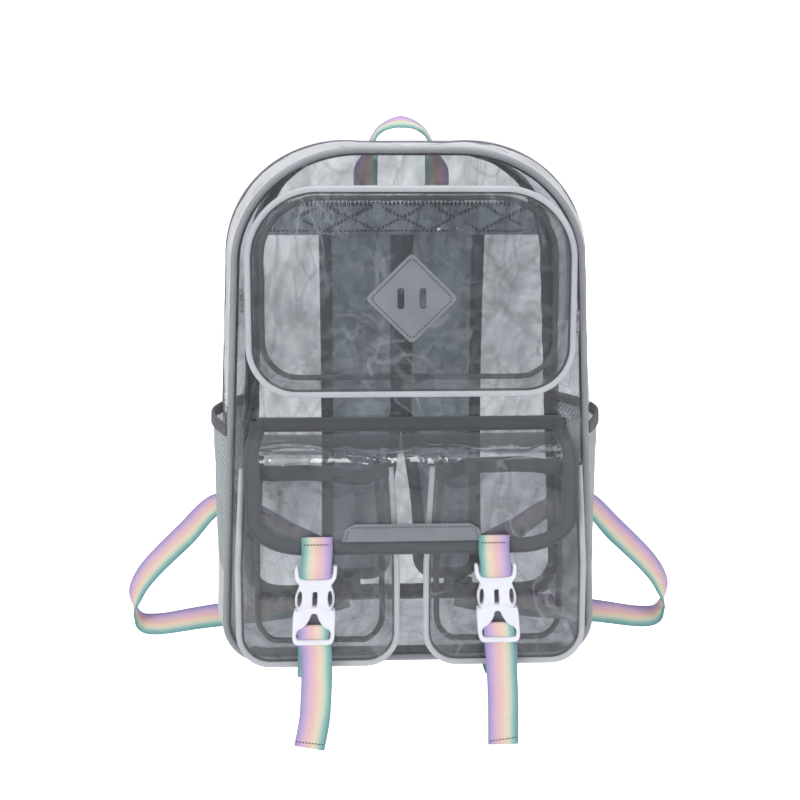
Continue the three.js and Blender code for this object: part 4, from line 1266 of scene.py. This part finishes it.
def build_flap_binding():
    """The folded tape round the flap's free edge, as one loft along it."""
    edge, turn = 6.2, FLAP_LENGTH - FLAP_CORNER_DROP
    half, bottom = FLAP_HALF - edge, FLAP_LENGTH - edge
    rx, rz = FLAP_CORNER_REACH - edge, FLAP_CORNER_DROP - edge
    spots, last = trace([
        ("line", -half, 3.0, -half, turn),
        ("arc", -half + rx, turn, rx, rz, math.pi, HALF_PI),
        ("line", -half + rx, bottom, half - rx, bottom),
        ("arc", half - rx, turn, rx, rz, HALF_PI, 0),
        ("line", half, turn, half, 3.0),
    ], 4.0)
    spots.append(last)
    section = [(-6.2, 1.0), (-6.0, 1.3), (-2, 1.35), (2, 1.35), (6.0, 1.3), (6.6, 0.0),
               (6.0, -1.3), (0, -1.35), (-6.2, -1.0)]
    verts, uvs, line = [], [], []
    for k, (x, d, nx, nd) in enumerate(spots):
        line.append(on_flap(x + nx * -4.6, d + nd * -4.6, 1.6))
        bulge = flap_half(d) - FLAP_HALF if abs(nx) > 0.999 else 0
        x += math.copysign(bulge, x)
        for w, h in section:
            verts.append(at(*on_flap(x + nx * w, d + nd * w, h)))
            uvs.append((w / 1000, k * 0.004))
    faces = loft_faces(len(spots), len(section), capped=False)
    dress(mesh_object("flap_edge_binding", verts, faces, uvs), DARK, "flap_binding")
    stitches("flap_binding_stitches", [line])


def build_flap_tab():
    """The grey pull tab above the bottom binding, its top corners rounded."""
    end = FLAP_LENGTH - 12.8

    def place(i, j):
        t = j / 7
        half = 53.5 + 3.5 * t - 7.0 * max(0, 1 - t * 2.2) ** 2
        return on_flap(-half + 2 * half * i / 39, end - 13.5 + 14.5 * j / 7, 2.2)
    tab = grid("flap_pull_tab", 40, 8, place, False, lambda i, j: (i * 0.0028, j * 0.002))
    dress(thicken(tab, 1.4), GREY, "flap_tab")
    line = [on_flap(-50 + 100 * i / 40, end - 11, 3.1) for i in range(41)]
    line += [on_flap(51 + 3 * i / 5, end - 9 + 9 * i / 5, 3.1) for i in range(6)]
    left = [on_flap(-51 - 3 * i / 5, end - 9 + 9 * i / 5, 3.1) for i in range(6)]
    stitches("flap_tab_stitches", [line, left], 3.0, 1.7, 0.45)


# Buckles

# Each buckle leans a little: its middle line's x at some heights.
BUCKLE_LEAN = {
    "left": [(-50, -84.5), (0, -83), (41, -80.5), (69, -79.2), (106, -77.4), (135, -76.2)],
    "right": [(-50, 75), (0, 73.6), (41, 71.2), (69, 69), (106, 67), (135, 66)],
}


def lean_x(name, z):
    """The x of a buckle's middle line at a height."""
    table = BUCKLE_LEAN[name]
    z = min(max(z, table[0][0]), table[-1][0])
    for (a, low), (b, high) in zip(table, table[1:]):
        if z <= b:
            return low + (high - low) * (z - a) / (b - a)
    return table[-1][1]


def leaning_part(name, side, outline, holes, wall, y, bevel, material, *replaced):
    """A buckle's plate, made round x = 0 and moved to its leaning place."""
    part = plate(f"{name}_{side}", outline, holes, wall, y, bevel)
    for vertex in part.data.vertices:
        vertex.co.x += lean_x(side, vertex.co.z * 1000 + HANG_Z) / 1000
    dress(part, material, *replaced)


def mirrored(half_outline):
    """A whole outline from its right half, given from bottom to top."""
    return half_outline + [(-x, z) for x, z in reversed(half_outline)]


def oval(x, z, half_x, half_z, turn):
    ring = []
    for k in range(20):
        angle = 2 * math.pi * k / 20
        px, pz = half_x * math.cos(angle), half_z * math.sin(angle)
        ring.append((x + px * math.cos(turn) - pz * math.sin(turn),
                     z + px * math.sin(turn) + pz * math.cos(turn)))
    return ring


def build_buckle(name):
    top, join, low = 106.0, 69.0, 41.0
    clip = rounded(mirrored([
        (13.2, join), (15.6, join + 5), (16.0, join + 12), (13.6, join + 19), (12.4, join + 21.5),
        (16.6, join + 27), (17.0, top), (13.6, top + 0.4), (13.2, top - 9.5), (7, top - 10.6),
    ]), [1.2, 3, 4, 3, 2.5, 3, 1.6, 1.6, 2.0, 2] * 2)
    holes = [
        oval(-12.2, join + 10.2, 1.9, 6.9, -0.06),
        oval(12.2, join + 10.2, 1.9, 6.9, 0.06),
        rectangle(-2.0, 2.0, join + 3.4, join + 16.4, 1.9),
    ]
    leaning_part("buckle_clip", name, clip, holes, 6.3, BUCKLE_Y, 1.1, WHITE, f"buckle_male_{name}")
    bar = rectangle(-14, 14, top - 11.5, top - 7.5, 1.4)
    leaning_part("buckle_clip_bar", name, bar, [], 4.0, BUCKLE_Y + 0.2, 1.3, WHITE)
    body = rounded(mirrored([
        (14.5, low), (17.0, low + 4), (17.0, join - 4), (16.4, join + 1.2), (13, join + 0.4),
        (5.5, join + 3.4),
    ]), [3, 3, 4, 1.5, 3, 3] * 2)
    window = rounded(mirrored([
        (13.4, low + 4.8), (13.6, low + 11.2), (8.4, low + 14.2), (4.0, low + 20.5), (1.9, low + 26.5),
    ]), [1.2, 2.0, 5, 5, 1.8] * 2)
    leaning_part("buckle_body", name, body, [window], 9.4, BUCKLE_Y, 1.7, WHITE, f"buckle_female_{name}")
    tongue = rounded(mirrored([(9.6, low + 14), (5, join + 2)]), 1.2)
    leaning_part("buckle_tongue", name, tongue, [], 1.6, BUCKLE_Y + 3.2, 0.4, GREY)


def build_straps(name, side):
    wide = (1, 0, 0)

    def spot(y, z, shift=0.0):
        return (lean_x(name, z) + shift, y, z), wide
    face, back = BUCKLE_Y - 3.6, BUCKLE_Y + 4.3
    sewn = lean_x(name, 122)
    upper = [
        (on_flap(sewn, FLAP_LENGTH - 16, 2.6, False), wide),
        (on_flap(sewn, FLAP_LENGTH - 3, 3.4, False), wide),
        spot(face - 0.6, 106.6), spot(face + 0.4, 100.0), spot(BUCKLE_Y, 95.0),
        spot(back, 99.0), spot(back, 106.0),
    ]
    strap = webbing(f"flap_webbing_{name}", upper, 70)
    dress(strap, WEB, f"flap_strap_{name}")
    row = [on_flap(sewn - 11 + 22 * i / 10, FLAP_LENGTH - 10, 3.6, False) for i in range(11)]
    stitches(f"flap_webbing_stitches_{name}", [row], 2.6, 1.7, 0.5)
    front = BUCKLE_Y - 3.0
    under = 0.5 if side < 0 else 2.5
    sway = 4.5 if side < 0 else 0.5
    lower = [
        ((lean_x(name, -47), front - 1.4, -46.5), (1, 0, 0.14 * side)),
        spot(front - 1.2, -24, sway * 0.8), spot(front - 1.2, -8, sway), spot(front - 0.6, 12, sway),
        spot(front + 0.9, 34, sway * 0.7), spot(front + 1.4, 44),
        spot(front - 1.6, 49), spot(front - 2.0, 52.5), spot(front + 0.8, 56.6), spot(BUCKLE_Y + 3.0, 53.5),
        spot(BUCKLE_Y + 4.6, 46.5),
    ]
    run = [
        spot(BUCKLE_Y + 4.6, 46.5), spot(BUCKLE_Y + 5.4, 31, under), spot(-46, 9, under),
        spot(-32, 0.4, under), spot(-12, -3.4, under), spot(14, -3.7, under), spot(34, -4.6, under),
    ]
    dress(webbing(f"lower_webbing_run_{name}", run, 60), WEB)
    tail = webbing(f"lower_webbing_{name}", lower, 100, flip=True)
    dress(tail, WEB, f"lower_strap_{name}")
    end = lean_x(name, -42)
    row = [(end - 11.5 + 23 * i / 10, front - 2.3, -42 + side * 0.14 * (i - 5) * 2.3) for i in range(11)]
    stitches(f"tail_stitches_{name}", [row], 2.6, 1.7, 0.45)


# Back: yoke, pads, loops, handle

def pad_centre(z):
    """The depth of a pad's middle at a height: it bows away from the back."""
    share = clamp((390 - z) / 376)
    return 149.5 + 4 * share + 24 * max(0, math.sin(math.pi * share)) ** 1.2


def build_yoke():
    def place(i, j):
        z = YOKE_TOP - YOKE_HEIGHT * j / 10
        half = 130 + (YOKE_TOP - z) * 0.155
        x = -half + 2 * half * i / 70
        return x, BACK_FACE + 1 + wrinkle(x, 70, z, 20, 0.5), z
    yoke = grid("yoke_strip", 71, 11, place, False, lambda i, j: (i * 0.0038, j * 0.003))
    dress(thicken(yoke, 2.0), PAD, "yoke_band")
    lines = []
    for y in (BACK_FACE - 0.05, BACK_FACE + 2.3):
        for z in (392, 367):
            lines.append([(-130, y, z), (130, y, z)])
        for x in range(-126, 100, 51):
            lines.append([(x, y, 391), (x + 48, y, 368)])
            lines.append([(x, y, 368), (x + 48, y, 391)])
    stitches("yoke_stitches", lines, 4.0, 2.8, 0.28)


def pad_gather(z):
    """How far a pad's inner edge comes in towards the middle, near the yoke."""
    return -5 + 12.6 * smooth(clamp((z - 60) / 130))


def pad_outline(side):
    inner, outer, low, r, high = 9.0, 79.0, 14.0, 20.0, 389.0
    spots, last = trace([
        ("line", inner, high, inner, low + r),
        ("arc", inner + r, low + r, r, r, math.pi, 3 * HALF_PI),
        ("line", inner + r, low, outer - r, low),
        ("arc", outer - r, low + r, r, r, 3 * HALF_PI, 2 * math.pi),
        ("line", outer, low + r, outer, high),
    ], 5.0)
    spots.append(last)
    middle = (inner + outer) / 2
    return [(side * (x - (pad_gather(z) if x < middle else 0)), z, side * nx, nz) for x, z, nx, nz in spots]


def pad_shell(name, side):
    """The pad's closed skin before it is swollen."""
    rows, columns = 70, 17
    verts = []
    for j in range(rows):
        share = (j / (rows - 1)) ** 1.2
        z = PAD_LOW + (PAD_HIGH - PAD_LOW) * share
        low = max(0, (34 - z) / 19)
        half = PAD_HALF - 19 * (1 - math.sqrt(max(0, 1 - low * low)))
        ring = []
        for i in range(columns):
            t = i / (columns - 1)
            x = side * PAD_X - half + 2 * half * t
            x -= side * pad_gather(z) * (1 - t if side > 0 else t)
            swell = 0.8 + 2.1 * (1 - abs(2 * t - 1) ** 4)
            ring.append((x, z, swell))
        verts += [at(x, pad_centre(z) - h, z) for x, z, h in ring]
        verts += [at(x, pad_centre(z) + h, z) for x, z, h in reversed(ring[1:-1])]
    return mesh_object(f"pad_{name}", verts, loft_faces(rows, 2 * columns - 2))


def build_pad(name, side):
    pad = pad_shell(name, side)
    inflate(pad, 2.5)
    uv_from_front(pad)
    dress(pad, PAD, f"shoulder_pad_{name}")
    build_pad_tape(name, side)
    lines = []
    for face in (-3.9, 3.9):
        y0, y1 = pad_centre(80) + face, pad_centre(66) + face
        a, b = side * 38, side * 58
        box = [(a, y0, 80), (b, y0, 80), (b, y1, 66), (a, y1, 66), (a, y0, 80)]
        lines += [box, [(a, y0, 80), (b, y1, 66)], [(b, y0, 80), (a, y1, 66)]]
    stitches(f"pad_box_stitches_{name}", lines, 3.0, 2.2, 0.4)


def build_pad_tape(name, side):
    """The folded tape round the pad's edge."""
    spots = pad_outline(side)
    section = [(-9.5, -3.3), (-4, -3.6), (1.0, -3.5), (2.4, 0), (1.0, 3.5), (-4, 3.6), (-9.5, 3.3)]

    def place(i, j):
        x, z, nx, nz = spots[i]
        out, depth = section[j]
        px, pz = x + nx * out, z + nz * out
        return px, pad_centre(pz) + depth, pz
    edge = grid(f"pad_edge_tape_{name}", len(spots), len(section), place, False,
                lambda i, j: (j * 0.004, i * 0.005))
    dress(thicken(edge, 0.9), DARK, f"pad_binding_{name}")


def uv_from_front(obj):
    """Lays the UV map flat on x and z, in metres."""
    mesh = obj.data
    layer = mesh.uv_layers.new(name="UVMap") if not mesh.uv_layers else mesh.uv_layers[0]
    for loop in mesh.loops:
        co = mesh.vertices[loop.vertex_index].co
        layer.data[loop.index].uv = (co.x, co.z)


def inflate(obj, cap):
    """Swells a pad with a short cloth simulation and keeps the result."""
    scene = bpy.context.scene
    remesh = obj.modifiers.new("remesh", "REMESH")
    remesh.mode = "VOXEL"
    remesh.voxel_size = 0.002475
    graph = bpy.context.evaluated_depsgraph_get()
    mesh = bpy.data.meshes.new_from_object(obj.evaluated_get(graph))
    obj.modifiers.clear()
    obj.data = mesh
    start = [v.co.copy() for v in mesh.vertices]
    cloth = obj.modifiers.new("cloth", "CLOTH")
    cloth.settings.quality = 4
    cloth.settings.use_pressure = True
    cloth.settings.uniform_pressure_force = 4
    cloth.settings.effector_weights.gravity = 0
    cloth.settings.tension_stiffness = 25
    cloth.settings.compression_stiffness = 25
    for f in range(1, 13):
        scene.frame_set(f)
    graph = bpy.context.evaluated_depsgraph_get()
    swollen = bpy.data.meshes.new_from_object(obj.evaluated_get(graph))
    obj.modifiers.clear()
    for vertex, origin in zip(swollen.vertices, start):
        move = vertex.co - origin
        if move.length > cap / 1000:
            vertex.co = origin + move.normalized() * cap / 1000
    obj.data = swollen
    scene.frame_set(1)


LOOP_REACH = 277.0
LOOP_STOPS = [
    (0.2, 6.6, -3, (0, 0, 1)),
    (0.28, 7, -8, (0, 0.3, 1)),
    (0.46, 12, -17, (0, 0.6, 1)),
    (0.72, 18, -28, (0, 0.9, 0.8)),
    (0.93, 20, -36, (0.1, 1, 0.6)),
    (0.99, 21, -22, (0.2, 1, 0.2)),
    (0.985, 21, -2, (0.9, 1, 0.4)),
    (0.93, 21, 22, (0.9, 0.7, 0.6)),
    (0.8, 21, 58, (0.8, 0.5, 0.8)),
    (0.68, 21, 90, (0.5, 0.8, 0.6)),
    (0.56, 22, 84, (0, 1, 0.5)),
    (0.42, 22, 59, (-0.3, 0.9, 0.6)),
]


def build_loop(name, side):
    stops = [((side * reach * LOOP_REACH, DEPTH + depth, height), (side * w[0], w[1], w[2]))
             for reach, depth, height, w in LOOP_STOPS]
    for height in (40, 29):
        seat = pad_centre(height) + 3.5 + 0.4 + 0.75
        x = 62 + (height - 29) * 2
        stops.append(((side * x, seat, height), (side * -0.5, 0.19, 0.87)))
    loop = webbing(f"loop_webbing_{name}", stops, 150)
    dress(loop, WEB, f"side_loop_{name}")
    x = side * 57
    tab = plate(f"anchor_{name}", rounded([(x - 14, 16), (x + 14, 16), (x + 17, -6), (x - 17, -6)], 2), [],
                1.5, BACK_FACE + 0.75, 0.4)
    uv_from_front(tab)
    dress(tab, DARK, f"anchor_tab_{name}")


def build_handle():
    y = BACK_FACE + 0.95
    half = [
        ((-35.5, y, 412), (1, 0, 0)),
        ((-35.5, y, 424), (1, 0, 0)),
        ((-33.0, y, BODY_HEIGHT - 4), (0.8, -0.6, 0)),
        ((-31.0, y, BODY_HEIGHT + 7), (0.35, -0.93, 0)),
        ((-21.5, y, BODY_HEIGHT + 22.5), (0.1, -0.85, -0.6)),
    ]
    stops = half + [((-1, y, BODY_HEIGHT + 30), (0, -0.56, -0.83))]
    stops += [((-x - 2, depth, z), (-w[0], w[1], w[2])) for (x, depth, z), w in reversed(half)]
    handle = webbing("handle_webbing", stops, 140, HANDLE_WIDTH, flip=True)
    dress(handle, WEB, "grab_handle")
    lines = []
    for x in (-35.5, 33.5):
        for z in (416, 430):
            lines.append([(x - 10, y + 1.0, z), (x + 10, y + 1.0, z)])
    stitches("handle_stitches", lines, 2.4, 1.7, 0.28, lift=(0, 1, 0))


add_camera()
add_world()
add_backdrop()
add_lights()
build_body()
build_top_pocket()
build_patch()
build_flap()
build_yoke()
build_handle()
for side_name, sign in SIDES:
    build_side_pocket(side_name, sign)
    build_low_pocket(side_name, sign)
    build_buckle(side_name)
    build_straps(side_name, sign)
    build_pad(side_name, sign)
    build_loop(side_name, sign)

for piece_name, width, length, area, seams in (
    ("front_sheet", 0.318, 0.439, 0.127, ["front_edge_piping"]),
    ("back_sheet", 0.318, 0.439, 0.127, ["back_seam_binding"]),
    ("top_pocket_sheet", 0.260, 0.164, 0.0407, ["top_pocket_edge_piping"]),
    ("low_pocket_sheet_left", 0.130, 0.163, 0.0205, ["low_pocket_edge_piping_left"]),
    ("low_pocket_sheet_right", 0.130, 0.163, 0.0205, ["low_pocket_edge_piping_right"]),
    ("flap_clear_sheet", 0.256, (FLAP_LENGTH - FLAP_SEWN - FLAP_INSET) / 1000,
     0.256 * (FLAP_LENGTH - 19) / 1000, ["flap_seam_tape"]),
):
    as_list(seams)

scene = bpy.context.scene
scene.view_settings.view_transform = "Standard"
scene.cycles.transparent_max_bounces = 32
scene.cycles.use_denoising = True
